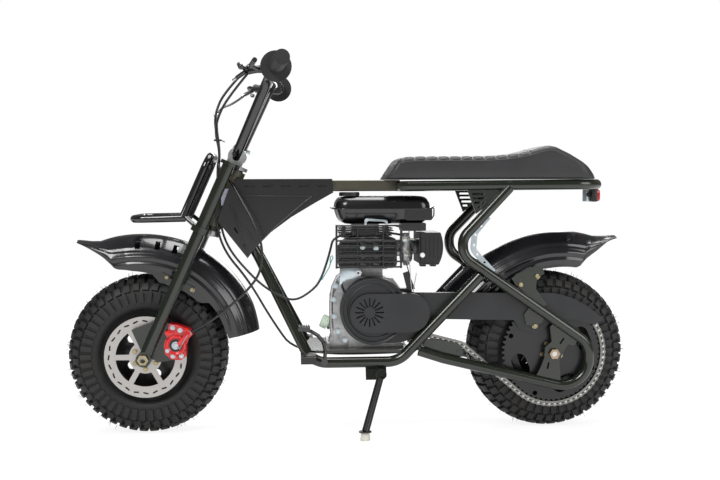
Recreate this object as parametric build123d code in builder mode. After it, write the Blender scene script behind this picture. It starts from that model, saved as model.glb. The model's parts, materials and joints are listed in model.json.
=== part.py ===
from build123d import *
import os
from math import acos, atan2, cos, hypot, pi, radians, sin, tan

# A mini dirt bike, modelled upright and then leaned onto its side stand.
# Upright frame: X runs along the bike with the front towards -X, the left side is -Y, Z is up
# and the centre plane is y = 0. The steering head and the axle height keep their place in it, so
# a longer wheelbase moves the rear wheel back and a larger tyre moves the ground down.

# Driving dimensions, millimetres and degrees
wheelbase = 905.0
tyre_radius = 178.0
tyre_width = 138.0
bead_radius = 76.0
rake_angle = 24.0
lean_angle = 4.0
fork_spread = 200.0
fork_offset = 15.0
fork_tube_radius = 13.5
bar_tube_radius = 11.1
cradle_tube_radius = 12.0
loop_tube_radius = 11.5
rail_tube_radius = 11.5
cradle_spacing = 204.0
rail_spacing = 172.0
seat_width = 196.0
disc_radius = 90.0
disc_thickness = 3.0
axle_radius = 6.0
nut_radius = 12.0
chain_pitch = 12.7
chain_width = 12.4
sprocket_teeth = 58
drive_teeth = 10
seat_gap = 0.3
running_gap = 1.0
shaft_gap = 0.05

front_x = -452.5
axle_z = 178.0

# Places worked out from the driving dimensions
rear_x = front_x + wheelbase
ground_z = axle_z - tyre_radius
cradle_y = cradle_spacing / 2
rail_y = rail_spacing / 2
leg_y = fork_spread / 2
rake_sin = sin(radians(rake_angle))
rake_cos = cos(radians(rake_angle))

# Along the fork: origin on the front axle, local x square to the fork and rearward, local z up it
steer = Plane(
    origin=(front_x, 0, axle_z), x_dir=(rake_cos, 0, -rake_sin), z_dir=(rake_sin, 0, rake_cos)
)


def fork_point(back, side, up):
    """A point given by its distance behind the fork line, to the right and up the fork."""
    return steer.from_local_coords(Vector(back, side, up))


def side_plane(left, x=0.0, z=0.0):
    """The plane square to the axles that lies left millimetres left of the centre plane."""
    return Plane(origin=(x, -left, z), x_dir=(1, 0, 0), z_dir=(0, -1, 0))


def wheel_plane(x):
    """The plane through an axle whose sketch x is the bike's width and sketch y the height."""
    return Plane(origin=(x, 0, axle_z), x_dir=(0, 1, 0), z_dir=(1, 0, 0))


def axle_line(x, z=axle_z):
    """A line from left to right across the bike."""
    return Axis((x, 0, z), (0, 1, 0))


def tube(points, bends, radius):
    """A round bar along straight runs that tangent arcs join, with one radius for each bend."""
    with BuildPart() as bar:
        with BuildLine() as path:
            if bends:
                FilletPolyline(*points, radius=bends)
            else:
                Line(*points)
        with BuildSketch(Plane(origin=path.line @ 0, z_dir=path.line % 0)):
            Circle(radius)
        sweep()
    return bar.part


def rod(start, end, radius):
    """A straight round bar between two points."""
    return tube([start, end], None, radius)


cable_radius = 2.6
widest_bend = 60.0


def cable(points):
    """A cable along straight runs, with each corner rounded as widely as its runs allow."""
    corners = [Vector(*point) for point in points]
    bends = []
    for before, corner, after in zip(corners, corners[1:], corners[2:]):
        turn = radians((corner - before).get_angle(after - corner))
        room = 0.45 * min((corner - before).length, (after - corner).length)
        bends.append(min(widest_bend, room / tan(turn / 2)))
    return tube(corners, bends, cable_radius)


def mirrored(points):
    """The same points on the other side of the bike."""
    return [(x, -y, z) for x, y, z in points]


# Seat rails: one bent hoop that is open at the front, where a cross bar closes it
rail_z = 552.0
rail_front_x = 116.0
rail_rear_x = 566.0
rail_corner = 60.0

with BuildPart() as seat_rails:
    rail_path = [
        (rail_front_x, -rail_y, rail_z),
        (rail_rear_x, -rail_y, rail_z + 3),
        (rail_rear_x, rail_y, rail_z + 3),
        (rail_front_x, rail_y, rail_z),
    ]
    add(tube(rail_path, [rail_corner, rail_corner], rail_tube_radius))
    cross_end = rail_y + rail_tube_radius - 1
    add(rod((rail_front_x, -cross_end, rail_z), (rail_front_x, cross_end, rail_z), rail_tube_radius))

# Head tube, and the box-section top tube that runs back from it to the seat rails
head_tube_radius = 22.0
steerer_radius = 15.0
head_low = 320.0
head_high = 456.0
top_tube_height = 25.0
top_tube_width = 50.0
top_tube_z = 553.5
top_tube_front_x = front_x + 176.0

with BuildPart() as head_tube:
    with BuildSketch(steer.offset(head_low)):
        with Locations((fork_offset, 0)):
            Circle(head_tube_radius)
    extrude(amount=head_high - head_low)
    with BuildSketch(Plane(origin=(top_tube_front_x, 0, top_tube_z), x_dir=(0, 1, 0), z_dir=(1, 0, 0))):
        RectangleRounded(top_tube_width, top_tube_height, 3)
    extrude(amount=rail_front_x - top_tube_front_x)
    with BuildSketch(steer.offset(head_low - 1)):
        with Locations((fork_offset, 0)):
            Circle(steerer_radius + running_gap)
    extrude(amount=head_high - head_low + 2, mode=Mode.SUBTRACT)
    add(seat_rails.part, mode=Mode.SUBTRACT)

# Cradle: on each side one tube down from the neck, back under the engine and up to the rear loop
neck_y = 20.0
cradle_z = 164.5
cradle_points = [
    (-262.0, -neck_y, 498.0),
    (-205.0, -neck_y, 396.0),
    (-88.0, -cradle_y, cradle_z),
    (104.0, -cradle_y, cradle_z),
    (286.0, -cradle_y, 354.0),
]
cradle_bends = [90.0, 55.0, 60.0]

with BuildPart() as cradle_left:
    add(tube(cradle_points, cradle_bends, cradle_tube_radius))
    add(head_tube.part, mode=Mode.SUBTRACT)

with BuildPart() as cradle_right:
    add(tube(mirrored(cradle_points), cradle_bends, cradle_tube_radius))
    add(head_tube.part, mode=Mode.SUBTRACT)
    add(cradle_left.part, mode=Mode.SUBTRACT)

# Rear loop: from the seat rail down behind the engine, back round the axle and forward again,
# with the slotted gusset under the seat rail and the plate that holds the rear axle
loop_points = [
    (354.0, -rail_y - 3, 548.0),
    (247.0, -cradle_y + 2, 437.0),
    (249.0, -cradle_y, 396.0),
    (rear_x + 80.5, -cradle_y, axle_z + 20),
    (rear_x + 80.5, -cradle_y, axle_z - 88),
    (205.0, -cradle_y, 170.0),
    (150.0, -cradle_y, 188.0),
]
loop_bends = [40.0, 40.0, 50.0, 60.0, 60.0]
dropout_thickness = 6.0
dropout_y = cradle_y
gusset_y = rail_y + 3.0
gusset_outline = [(258.0, 546.0), (352.0, 546.0), (279.0, 490.0)]
gusset_slots = ((283.0, 534.0, 26.0), (286.0, 524.5, 30.0), (287.0, 515.0, 24.0), (284.0, 505.5, 12.0))
# Outline and bolts of the fender bracket: x behind the rear axle, height above it
bracket_outline = [
    (-94.0, 168.0), (-83.0, 178.0), (-40.0, 196.0), (-24.0, 194.0), (-20.0, 178.0), (-37.0, 168.0),
    (-39.0, 144.0), (-13.0, 109.0), (-27.0, 102.0), (-61.0, 133.0), (-86.0, 155.0),
]
bracket_bolts = ((-75.0, 170.0), (-36.0, 187.0))
guard_tab_outline = [
    (-66.0, 86.0), (-60.0, 64.0), (-41.0, 60.0), (-25.0, 68.0), (-16.0, 86.0), (-24.0, 108.0),
    (-44.0, 118.0),
]
bracket_y = 92.0
bracket_thickness = 3.0
bracket_bolt_radius = 4.0
fender_half_width = 66.0
# Outline of the axle plate: x behind the axle, height above it
dropout_outline = [
    (3.0, 72.0), (58.0, 34.0), (45.0, 17.0), (32.0, 20.0), (22.0, 5.0), (13.0, -16.0), (16.0, -71.0),
    (-44.0, -57.0), (-30.0, -31.0), (-21.0, -8.0), (-20.0, 14.0), (-5.0, 27.0), (-9.0, 60.0),
]
dropout_slots = ((18.0, 28.0, 55.0), (-13.0, -27.0, 78.0))


def rear_loop(points, right, neighbours):
    """One side of the rear frame with its gusset and axle plate."""
    outward = -1 if right else 1
    with BuildPart() as loop:
        add(tube(points, loop_bends, loop_tube_radius))
        with BuildSketch(side_plane(outward * dropout_y, rear_x, axle_z)):
            Polygon(*dropout_outline, align=None)
            for slot_x, slot_z, slot_turn in dropout_slots:
                with Locations((slot_x, slot_z)):
                    SlotOverall(16, 4, rotation=slot_turn, mode=Mode.SUBTRACT)
        extrude(amount=dropout_thickness / 2, both=True)
        with BuildSketch(side_plane(outward * (bracket_y + bracket_thickness / 2), rear_x, axle_z)):
            Polygon(*bracket_outline, align=None)
            if not right:
                Polygon(*guard_tab_outline, align=None)
        extrude(amount=bracket_thickness / 2, both=True)
        bolt_length = bracket_y - fender_half_width - seat_gap
        with BuildSketch(side_plane(outward * (bracket_y - bolt_length / 2), rear_x, axle_z)):
            with Locations(*bracket_bolts):
                Circle(bracket_bolt_radius)
        extrude(amount=bolt_length / 2, both=True)
        with BuildSketch(side_plane(outward * gusset_y)):
            Polygon(*gusset_outline, align=None)
            for slot_x, slot_z, slot_length in gusset_slots:
                with Locations((slot_x, slot_z)):
                    SlotOverall(slot_length, 4.5, mode=Mode.SUBTRACT)
        extrude(amount=2.0, both=True)
        with BuildSketch(side_plane(outward * dropout_y, rear_x, axle_z)):
            Circle(axle_radius + shaft_gap)
        extrude(amount=dropout_thickness, both=True, mode=Mode.SUBTRACT)
        for neighbour in neighbours:
            add(neighbour, mode=Mode.SUBTRACT)
    return loop.part


loop_left = rear_loop(loop_points, False, (cradle_left.part, seat_rails.part))
loop_right = rear_loop(mirrored(loop_points), True, (cradle_right.part, seat_rails.part))

# Neck covers: a folded black cover over the top tube whose two sides reach down to the cradle
cover_half_width = 38.0
cover_wall = 3.0
cover_top = top_tube_z + top_tube_height / 2 + cover_wall
cover_front_x = -236.0
cover_rear_x = -38.0
cover_outline = [
    (-295.0, 476.0), (-265.0, 559.0), (-249.0, cover_top), (cover_rear_x, cover_top), (-36.0, 538.0),
    (-76.0, 515.7), (-130.2, 483.5), (-179.9, 447.0), (-214.5, 410.8), (-228.5, 391.5),
]
cover_slot_first_x = -222.6
cover_slot_step = 40.2
cover_slot_count = 5
cover_slot_z = 553.0
cover_emboss = 1.5
cover_panel = [
    (-226.0, 531.0), (-83.0, 527.0), (-84.0, 521.0), (-181.0, 449.0), (-209.5, 433.0), (-240.0, 472.0),
    (-264.0, 512.0),
]
cover_low_slots = ((-254.0, 454.0), (-234.0, 418.0))

with BuildPart() as neck_cover:
    with BuildSketch(side_plane(cover_half_width - cover_wall)):
        Polygon(*cover_outline, align=None)
        for slot_index in range(cover_slot_count):
            with Locations((cover_slot_first_x + slot_index * cover_slot_step, cover_slot_z)):
                SlotOverall(22, 4, mode=Mode.SUBTRACT)
        with Locations(*cover_low_slots):
            SlotOverall(15, 4, rotation=-60, mode=Mode.SUBTRACT)
    extrude(amount=cover_wall)
    with BuildSketch(side_plane(cover_half_width)):
        Polygon(*cover_panel, align=None)
    extrude(amount=cover_emboss)
    mirror(about=Plane.XZ)
    with BuildSketch(side_plane(-cover_half_width)):
        with Locations(((cover_front_x + cover_rear_x) / 2, cover_top - cover_wall / 2)):
            Rectangle(cover_rear_x - cover_front_x, cover_wall)
    extrude(amount=2 * cover_half_width)
    add(head_tube.part, mode=Mode.SUBTRACT)

# Engine plate between the cradle tubes, and the foot pegs beside them
plate_top = 191.5
plate_thickness = 6.0

with BuildPart() as engine_plate:
    with BuildSketch(Plane.XY.offset(plate_top - plate_thickness)):
        with Locations((16, 0)):
            Rectangle(226, 2 * cradle_y)
    extrude(amount=plate_thickness)
    add(cradle_left.part, mode=Mode.SUBTRACT)
    add(cradle_right.part, mode=Mode.SUBTRACT)

peg_x = -96.0
peg_z = 181.0
peg_reach = 176.0
peg_depth = 32.0
peg_height = 15.0
peg_rib_count = 6

with BuildPart() as foot_pegs:
    for peg_side in (-1, 1):
        with Locations((peg_x, peg_side * (peg_reach + cradle_y + 16) / 2, peg_z)):
            Box(peg_depth, peg_reach - cradle_y - 16, peg_height)
    rib_step = (peg_reach - cradle_y - 22) / peg_rib_count
    for rib_index in range(peg_rib_count):
        for peg_side in (-1, 1):
            rib_y = peg_side * (cradle_y + 21 + rib_index * rib_step)
            with Locations((peg_x, rib_y, peg_z + peg_height / 2)):
                Box(peg_depth, rib_step / 2, 3)
    for peg_side in (-1, 1):
        with Locations((peg_x - 2, peg_side * (cradle_y + 8), peg_z)):
            Box(20, 30, 10)
    add(cradle_left.part, mode=Mode.SUBTRACT)
    add(cradle_right.part, mode=Mode.SUBTRACT)
    add(engine_plate.part, mode=Mode.SUBTRACT)

# Side stand: a bracket under the left cradle tube, with a pivot bolt, a leg and a rubber foot
stand_tilt = 25.0
pivot_x = 65.0
pivot_y = -112.0
pivot_z = 138.0
stand_bolt_radius = 4.0
stand_leg_radius = 8.0
stand_eye_radius = 12.0
stand_eye_thickness = 6.0
stand_plate_thickness = 5.0
foot_x = 23.0
foot_y = -202.0
foot_radius = 10.5
foot_height = 17.0
crown_rise = 18.0
crown_half_width = 61.0
crown_arc_radius = (crown_half_width**2 + crown_rise**2) / (2 * crown_rise)
ground_drop = crown_arc_radius * (1 - cos(radians(lean_angle)))
lean_sin = sin(radians(lean_angle))
lean_cos = cos(radians(lean_angle))
tilt_sin = sin(radians(stand_tilt))
tilt_cos = cos(radians(stand_tilt))
stand_plane = Plane(
    origin=(pivot_x, pivot_y, pivot_z), x_dir=(1, 0, 0), z_dir=(0, -tilt_cos, tilt_sin)
)
# The floor under the leaned bike, seen from the upright frame
floor_plane = Plane(
    origin=(0, -ground_drop * lean_sin, ground_z - ground_drop * lean_cos), x_dir=(1, 0, 0),
    z_dir=(0, lean_sin, lean_cos),
)
foot_floor = floor_plane.from_local_coords(Vector(foot_x, foot_y, 0))
foot_top = floor_plane.from_local_coords(Vector(foot_x, foot_y, foot_height))
leg_start = stand_plane.from_local_coords(Vector(-2, -6, 0))

with BuildPart() as stand_bracket:
    with BuildSketch(stand_plane.offset(-stand_eye_thickness / 2 - seat_gap)):
        with BuildLine():
            Polyline((-34, 32), (12, 32), (12, -4), (4, -10), (-34, -10), close=True)
        make_face()
    extrude(amount=-stand_plate_thickness)
    with BuildSketch(stand_plane.offset(-stand_eye_thickness / 2 - stand_plate_thickness)):
        Circle(stand_bolt_radius)
    extrude(amount=stand_plate_thickness + stand_eye_thickness + 2)
    with BuildSketch(stand_plane.offset(stand_eye_thickness / 2 + seat_gap)):
        RegularPolygon(8, 6)
    extrude(amount=5)
    add(cradle_left.part, mode=Mode.SUBTRACT)

with BuildPart() as stand_leg:
    with BuildSketch(stand_plane.offset(-stand_eye_thickness / 2)):
        Circle(stand_eye_radius)
    extrude(amount=stand_eye_thickness)
    add(rod(leg_start, foot_top, stand_leg_radius))
    with BuildSketch(stand_plane.offset(-stand_eye_thickness / 2 - 12)):
        Circle(stand_eye_radius + 2)
    extrude(amount=12, mode=Mode.SUBTRACT)
    with BuildSketch(stand_plane.offset(stand_eye_thickness / 2)):
        Circle(stand_eye_radius)
    extrude(amount=20, mode=Mode.SUBTRACT)
    with BuildSketch(stand_plane.offset(-stand_eye_thickness)):
        Circle(stand_bolt_radius + shaft_gap)
    extrude(amount=2 * stand_eye_thickness, mode=Mode.SUBTRACT)
    with BuildSketch(floor_plane.offset(foot_height)):
        with Locations((foot_x, foot_y)):
            Circle(foot_radius + 3)
    extrude(amount=3)
    with BuildSketch(floor_plane.offset(foot_height)):
        with Locations((foot_x, foot_y)):
            Rectangle(80, 80)
    extrude(amount=-20, mode=Mode.SUBTRACT)

with BuildPart() as stand_foot:
    with BuildSketch(floor_plane):
        with Locations((foot_x, foot_y)):
            Circle(foot_radius)
    extrude(amount=foot_height - 0.1, taper=5)

# Wheels: both have the same tyre, rim and disc
rim_half_width = 50.3
rim_flange_radius = 86.0
rim_barrel = 4.0
rim_web_half = 4.0
hub_radius = 30.0
disc_y = 76.0
hub_short = 60.0
shoulder_radius = tyre_radius - crown_rise
belly_radius = 126.0
bead_half_width = 46.0
bead_height = 12.0
lug_height = 8.0
lug_count = 26
lug_arc = 9.0
middle_lug_half = 19.0
side_lug_start = 26.0
side_lug_low = 142.0


def crown_height(y):
    """The tyre's outer radius at a distance from its middle, over the tips of the blocks."""
    return tyre_radius - crown_arc_radius + (crown_arc_radius**2 - y**2) ** 0.5


def make_lug(x, outline, first_angle):
    """One tread block: its outline across the tyre, turned a few degrees about the axle."""
    with BuildPart() as lug:
        with BuildSketch(wheel_plane(x)):
            Polygon(*outline, align=None)
        revolve(axis=axle_line(x), revolution_arc=lug_arc)
    return lug.part.rotate(axle_line(x), first_angle)


def make_tyre(x):
    """A closed tyre, turned about the axle, with a middle row and two side rows of blocks."""
    carcass_radius = tyre_radius - lug_height
    side_lug_end = crown_half_width + 2
    middle_lug = [
        (-middle_lug_half, carcass_radius - lug_height), (-middle_lug_half, crown_height(middle_lug_half)),
        (0, tyre_radius), (middle_lug_half, crown_height(middle_lug_half)),
        (middle_lug_half, carcass_radius - lug_height),
    ]
    side_lug = [
        (side_lug_start, carcass_radius - 2 * lug_height),
        (side_lug_start, crown_height(side_lug_start)),
        (crown_half_width - lug_height, crown_height(crown_half_width - lug_height)),
        (side_lug_end, shoulder_radius), (tyre_width / 2, side_lug_low),
        (crown_half_width - 3, side_lug_low),
    ]
    pitch = 360 / lug_count
    lugs = []
    for index in range(lug_count):
        lugs.append(make_lug(x, middle_lug, index * pitch))
        for side in (-1, 1):
            row = [(side * across, height) for across, height in side_lug]
            lugs.append(make_lug(x, row, (index + 0.5) * pitch))
    with BuildPart() as tyre:
        with BuildSketch(wheel_plane(x)):
            with BuildLine():
                ThreePointArc(
                    (-crown_half_width, shoulder_radius - lug_height), (0, carcass_radius),
                    (crown_half_width, shoulder_radius - lug_height),
                )
                for side in (-1, 1):
                    ThreePointArc(
                        (side * crown_half_width, shoulder_radius - lug_height),
                        (side * (tyre_width / 2 - lug_height / 4), belly_radius),
                        (side * bead_half_width, bead_radius + bead_height),
                    )
                    Line(
                        (side * bead_half_width, bead_radius + bead_height),
                        (side * bead_half_width, bead_radius + seat_gap),
                    )
                Line(
                    (bead_half_width, bead_radius + seat_gap),
                    (-bead_half_width, bead_radius + seat_gap),
                )
            make_face()
        revolve(axis=axle_line(x))
        add(lugs)
    return tyre.part


def make_rim(x, left_end, right_end):
    """A pressed rim on a web and a hub, whose ends reach left_end and right_end from the middle."""
    barrel_in = bead_radius - rim_barrel
    lip = rim_half_width - rim_barrel
    with BuildPart() as rim:
        with BuildSketch(wheel_plane(x)):
            Polygon(
                (-left_end, axle_radius + running_gap), (-left_end, hub_radius),
                (-rim_web_half, hub_radius), (-rim_web_half, barrel_in),
                (-rim_half_width, barrel_in), (-rim_half_width, rim_flange_radius),
                (-lip, rim_flange_radius), (-lip, bead_radius),
                (lip, bead_radius), (lip, rim_flange_radius),
                (rim_half_width, rim_flange_radius), (rim_half_width, barrel_in),
                (rim_web_half, barrel_in), (rim_web_half, hub_radius),
                (right_end, hub_radius), (right_end, axle_radius + running_gap),
                align=None,
            )
        revolve(axis=axle_line(x))
        with BuildSketch(side_plane(0, x, axle_z)):
            with PolarLocations((hub_radius + barrel_in) / 2, 5):
                Circle(9)
        extrude(amount=2 * rim_web_half, both=True, mode=Mode.SUBTRACT)
    return rim.part


def make_disc(x, left):
    """A brake disc with six spokes between its hub ring and its slotted brake ring."""
    ring_inner = disc_radius - 25
    with BuildPart() as disc:
        with BuildSketch(side_plane(left - disc_thickness / 2, x, axle_z)):
            Circle(disc_radius)
            Circle(ring_inner, mode=Mode.SUBTRACT)
            Circle(36)
            with PolarLocations(0, 6):
                with Locations(((ring_inner + 30) / 2, 0)):
                    Rectangle(ring_inner - 28, 12)
            Circle(nut_radius + running_gap, mode=Mode.SUBTRACT)
            for first_slot, tilt in ((0, 78), (15, 102)):
                with PolarLocations(disc_radius - 10, 12, start_angle=first_slot):
                    SlotOverall(12, 3.4, rotation=tilt, mode=Mode.SUBTRACT)
        extrude(amount=disc_thickness)
    return disc.part


hub_to_disc = disc_y - disc_thickness / 2 - seat_gap
chain_y = 80.5
sprocket_thickness = 4.0
hub_to_sprocket = chain_y - sprocket_thickness / 2 - seat_gap
front_tyre = make_tyre(front_x)
rear_tyre = make_tyre(rear_x)
front_rim = make_rim(front_x, hub_to_disc, hub_short)
rear_rim = make_rim(rear_x, hub_to_sprocket, hub_to_disc)
front_disc = make_disc(front_x, disc_y)
rear_disc = make_disc(rear_x, -disc_y)

# Chain drive: pitch circles from the tooth counts, and a tensioner under the lower run
crank_x = 40.0
crank_z = 275.0
big_pitch_radius = chain_pitch / (2 * sin(pi / sprocket_teeth))
small_pitch_radius = chain_pitch / (2 * sin(pi / drive_teeth))
roller_radius = 3.9
plate_half_height = 6.0
plate_row = 3.0
tensioner_x = 240.0
tensioner_z = 182.0
tensioner_pitch_radius = 18.0
tooth_tip = big_pitch_radius - roller_radius - seat_gap
tooth_root = tooth_tip - 6.0


def tooth_outline(teeth, root, tip):
    """The points round a toothed wheel, four to a tooth: root, tip, tip and root again."""
    points = []
    for tooth in range(teeth):
        for share, radius in ((-0.36, root), (-0.14, tip), (0.14, tip), (0.36, root)):
            angle = 2 * pi * (tooth + share) / teeth
            points.append((radius * cos(angle), radius * sin(angle)))
    return points


with BuildPart() as rear_sprocket:
    with BuildSketch(side_plane(chain_y - sprocket_thickness / 2, rear_x, axle_z)):
        with BuildLine():
            Polyline(*tooth_outline(sprocket_teeth, tooth_root, tooth_tip), close=True)
        make_face()
        Circle(nut_radius + running_gap, mode=Mode.SUBTRACT)
        with PolarLocations(0.65 * big_pitch_radius, 4, start_angle=23):
            SlotOverall(56, 34, rotation=90, mode=Mode.SUBTRACT)
        with PolarLocations(0.85 * big_pitch_radius, 4, start_angle=68):
            Circle(5.5, mode=Mode.SUBTRACT)
    extrude(amount=sprocket_thickness)


def chain_runs(grow):
    """The chain's closed loop, offset outwards by grow, as (arc, line) pairs.

    Each wheel is x, z and a signed radius: the chain passes a wheel with a negative radius on
    its other side. Seen from the left the loop runs clockwise. An arc is its centre, its signed
    radius, its first angle and how far it turns; a line is its two ends.
    """
    wheels = [
        (crank_x, crank_z, small_pitch_radius + grow),
        (rear_x, axle_z, big_pitch_radius + grow),
        (tensioner_x, tensioner_z, grow - tensioner_pitch_radius),
    ]
    normals = []
    for index, (x, z, r) in enumerate(wheels):
        next_x, next_z, next_r = wheels[(index + 1) % len(wheels)]
        heading = atan2(next_z - z, next_x - x)
        normals.append(heading + acos((r - next_r) / hypot(next_x - x, next_z - z)))
    runs = []
    for index, (x, z, r) in enumerate(wheels):
        arrive, leave = normals[index - 1], normals[index]
        turn = (arrive - leave) % (2 * pi) if r > 0 else -((leave - arrive) % (2 * pi))
        next_x, next_z, next_r = wheels[(index + 1) % len(wheels)]
        start = (x + r * cos(leave), z + r * sin(leave))
        end = (next_x + next_r * cos(leave), next_z + next_r * sin(leave))
        runs.append(((x, z, r, arrive, turn), (start, end)))
    return runs


def chain_outline(grow):
    """Draw the chain's closed loop, offset outwards by grow, as arcs and straight runs."""
    for (x, z, r, arrive, turn), line in chain_runs(grow):
        arc = [(x + r * cos(a), z + r * sin(a)) for a in (arrive, arrive - turn / 2, arrive - turn)]
        ThreePointArc(*arc)
        Line(*line)


def chain_stations():
    """Each pin of the chain as x, z and the outward direction, evenly spaced round the loop."""
    runs = chain_runs(0)
    lengths = []
    for (x, z, r, arrive, turn), (start, end) in runs:
        lengths.append((abs(r * turn), hypot(end[0] - start[0], end[1] - start[1])))
    total = sum(sum(pair) for pair in lengths)
    link_count = 2 * round(total / chain_pitch / 2)
    stations = []
    for link in range(2 * link_count):
        along = total * link / (2 * link_count)
        for ((x, z, r, arrive, turn), (start, end)), (arc_length, line_length) in zip(runs, lengths):
            if along < arc_length:
                angle = arrive - turn * along / arc_length
                sign = 1 if r > 0 else -1
                stations.append((x + r * cos(angle), z + r * sin(angle), sign * cos(angle), sign * sin(angle)))
                break
            along -= arc_length
            if along < line_length:
                share = along / line_length
                out_x = -(end[1] - start[1]) / line_length
                out_z = (end[0] - start[0]) / line_length
                stations.append((
                    start[0] + share * (end[0] - start[0]), start[1] + share * (end[1] - start[1]),
                    out_x, out_z,
                ))
                break
            along -= line_length
    return stations


plate_waist = 4.2
plate_edge = []
for index, (x, z, out_x, out_z) in enumerate(chain_stations()):
    reach = plate_half_height if index % 2 == 0 else plate_waist
    plate_edge.append((x + reach * out_x, z + reach * out_z))

with BuildPart() as chain:
    with BuildSketch(side_plane(chain_y - chain_width / 2)):
        with BuildLine():
            chain_outline(roller_radius)
        make_face()
        with BuildLine():
            chain_outline(-roller_radius)
        make_face(mode=Mode.SUBTRACT)
    extrude(amount=chain_width)
    for left in (chain_y - chain_width / 2, chain_y + chain_width / 2 - plate_row):
        with BuildSketch(side_plane(left)):
            Polygon(*plate_edge, align=None)
            with BuildLine():
                chain_outline(-plate_half_height)
            make_face(mode=Mode.SUBTRACT)
        extrude(amount=plate_row)

# Engine: crankcase, cylinder, tank, muffler, carburettor, air box, starter and oil filler
case_left = 58.0
case_right = 62.0
shaft_radius = 9.5

with BuildPart() as crankcase:
    with BuildSketch(side_plane(-case_right)):
        Polygon(
            (-30, plate_top + 8.5), (-42, 214), (-42, 300), (-26, 332), (2, 352), (96, 346),
            (114, 322), (114, 214), (104, plate_top + 8.5), align=None,
        )
    extrude(amount=case_left + case_right)
    with Locations((34, 0, plate_top + 4.5)):
        Box(172, 120, 8.4)
    with BuildSketch(side_plane(case_left)):
        with Locations((crank_x, crank_z)):
            Circle(30)
    extrude(amount=6)
    with BuildSketch(side_plane(case_left + 6)):
        with Locations((crank_x, crank_z)):
            Circle(shaft_radius)
    extrude(amount=40)

barrel_fin_count = 7
with BuildPart() as cylinder:
    with BuildSketch(side_plane(-50)):
        with Locations((34, 392)):
            Rectangle(84, 102)
    extrude(amount=76)
    for fin_index in range(barrel_fin_count):
        with Locations((34, 12, 366 + fin_index * 12)):
            Box(104, 92, 3)
    add(crankcase.part, mode=Mode.SUBTRACT)

tank_x = 75.0
tank_half_length = 108.0
tank_half_width = 74.0
tank_low = 466.0
tank_seam = 502.0
tank_high = 530.0

with BuildPart() as fuel_tank:
    with BuildSketch(Plane.XY.offset(tank_seam)):
        with Locations((tank_x, 0)):
            RectangleRounded(2 * tank_half_length, 2 * tank_half_width, 26)
    extrude(amount=tank_high - tank_seam, taper=12)
    with BuildSketch(Plane.XY.offset(tank_seam)):
        with Locations((tank_x, 0)):
            RectangleRounded(2 * tank_half_length, 2 * tank_half_width, 26)
    extrude(amount=-(tank_seam - tank_low), taper=10)
    with BuildSketch(Plane.XY.offset(tank_seam - 1.5)):
        with Locations((tank_x, 0)):
            RectangleRounded(2 * tank_half_length + 10, 2 * tank_half_width + 10, 30)
    extrude(amount=3)
    with BuildSketch(side_plane(-20)):
        with Locations((34, (443 + tank_low) / 2)):
            Rectangle(60, tank_low - 443 + 4)
        with Locations((142, tank_low - 6)):
            Rectangle(56, 16)
    extrude(amount=50)
    add(cylinder.part, mode=Mode.SUBTRACT)

with BuildPart() as fuel_cap:
    with BuildSketch(Plane.XY.offset(tank_high + seat_gap)):
        with Locations((0, -40)):
            Circle(23)
    extrude(amount=9)
    fillet(fuel_cap.edges().group_by(Axis.Z)[-1], 3)

with BuildPart() as muffler:
    with BuildSketch(side_plane(46)):
        with Locations((36, 413)):
            RectangleRounded(128, 84, 14)
    extrude(amount=50)
    with BuildSketch(side_plane(20)):
        with Locations((36, 413)):
            Circle(14)
    extrude(amount=28)
    for rib_index in range(6):
        with Locations((36, -96, 381 + rib_index * 13)):
            Box(118, 5, 5)
    for strap_x in (26, 53):
        with Locations((strap_x, -97, 413)):
            Box(12, 8, 84)
    add(cylinder.part, mode=Mode.SUBTRACT)

guard_wire = 2.0
guard_y = 104.0
with BuildPart() as muffler_guard:
    for bar_z in (375, 387, 401, 422, 433, 466):
        add(rod((-34, -guard_y - 3, bar_z), (112, -guard_y - 3, bar_z), guard_wire))
    for bar_x in (-32, 110):
        add(rod((bar_x, -guard_y, 372), (bar_x, -guard_y, 468), guard_wire + 0.3))
    for bar_x in (-6, 84):
        add(rod((bar_x, -guard_y - 2, 422), (bar_x, -95, 422), guard_wire + 0.6))
    add(muffler.part, mode=Mode.SUBTRACT)

with BuildPart() as carburettor:
    with BuildSketch(Plane(origin=(70, -16, 410), x_dir=(0, 1, 0), z_dir=(1, 0, 0))):
        Circle(19)
    extrude(amount=83)
    with BuildSketch(Plane.XY.offset(380)):
        with Locations((128, -30)):
            Circle(21)
    extrude(amount=42)
    with BuildSketch(Plane.XY.offset(422)):
        with Locations((128, -30)):
            Circle(13)
    extrude(amount=24)
    add(cylinder.part, mode=Mode.SUBTRACT)
    add(fuel_tank.part, mode=Mode.SUBTRACT)

with BuildPart() as air_box:
    with BuildSketch(side_plane(-34)):
        with BuildLine():
            Polyline((200, 449), (153.3, 449), (153.3, 380), (196, 378))
            ThreePointArc((196, 378), (206, 413), (200, 449))
        make_face()
    extrude(amount=120)
    fillet(air_box.edges().filter_by(Axis.Z), 6)

with BuildPart() as governor:
    with BuildSketch(side_plane(62)):
        Polygon((118, 358), (130, 362), (146, 322), (128, 318), align=None)
    extrude(amount=4)
    add(rod((134, -66, 352), (124, -66, 386), 1.2))
    with Locations((122, -52, 316)):
        Box(34, 22, 14)
    add(crankcase.part, mode=Mode.SUBTRACT)

with BuildPart() as recoil_starter:
    with BuildSketch(side_plane(-case_right - seat_gap)):
        with Locations((crank_x, crank_z)):
            Circle(78)
    extrude(amount=-44)
    with BuildSketch(side_plane(-case_right - seat_gap - 44)):
        with Locations((crank_x, crank_z)):
            Circle(56)
    extrude(amount=-20, taper=12)
    with BuildSketch(side_plane(-case_right - seat_gap - 10)):
        with Locations((crank_x, crank_z)):
            with PolarLocations(66, 12):
                SlotOverall(20, 6, rotation=90)
    extrude(amount=-40, mode=Mode.SUBTRACT)

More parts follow.
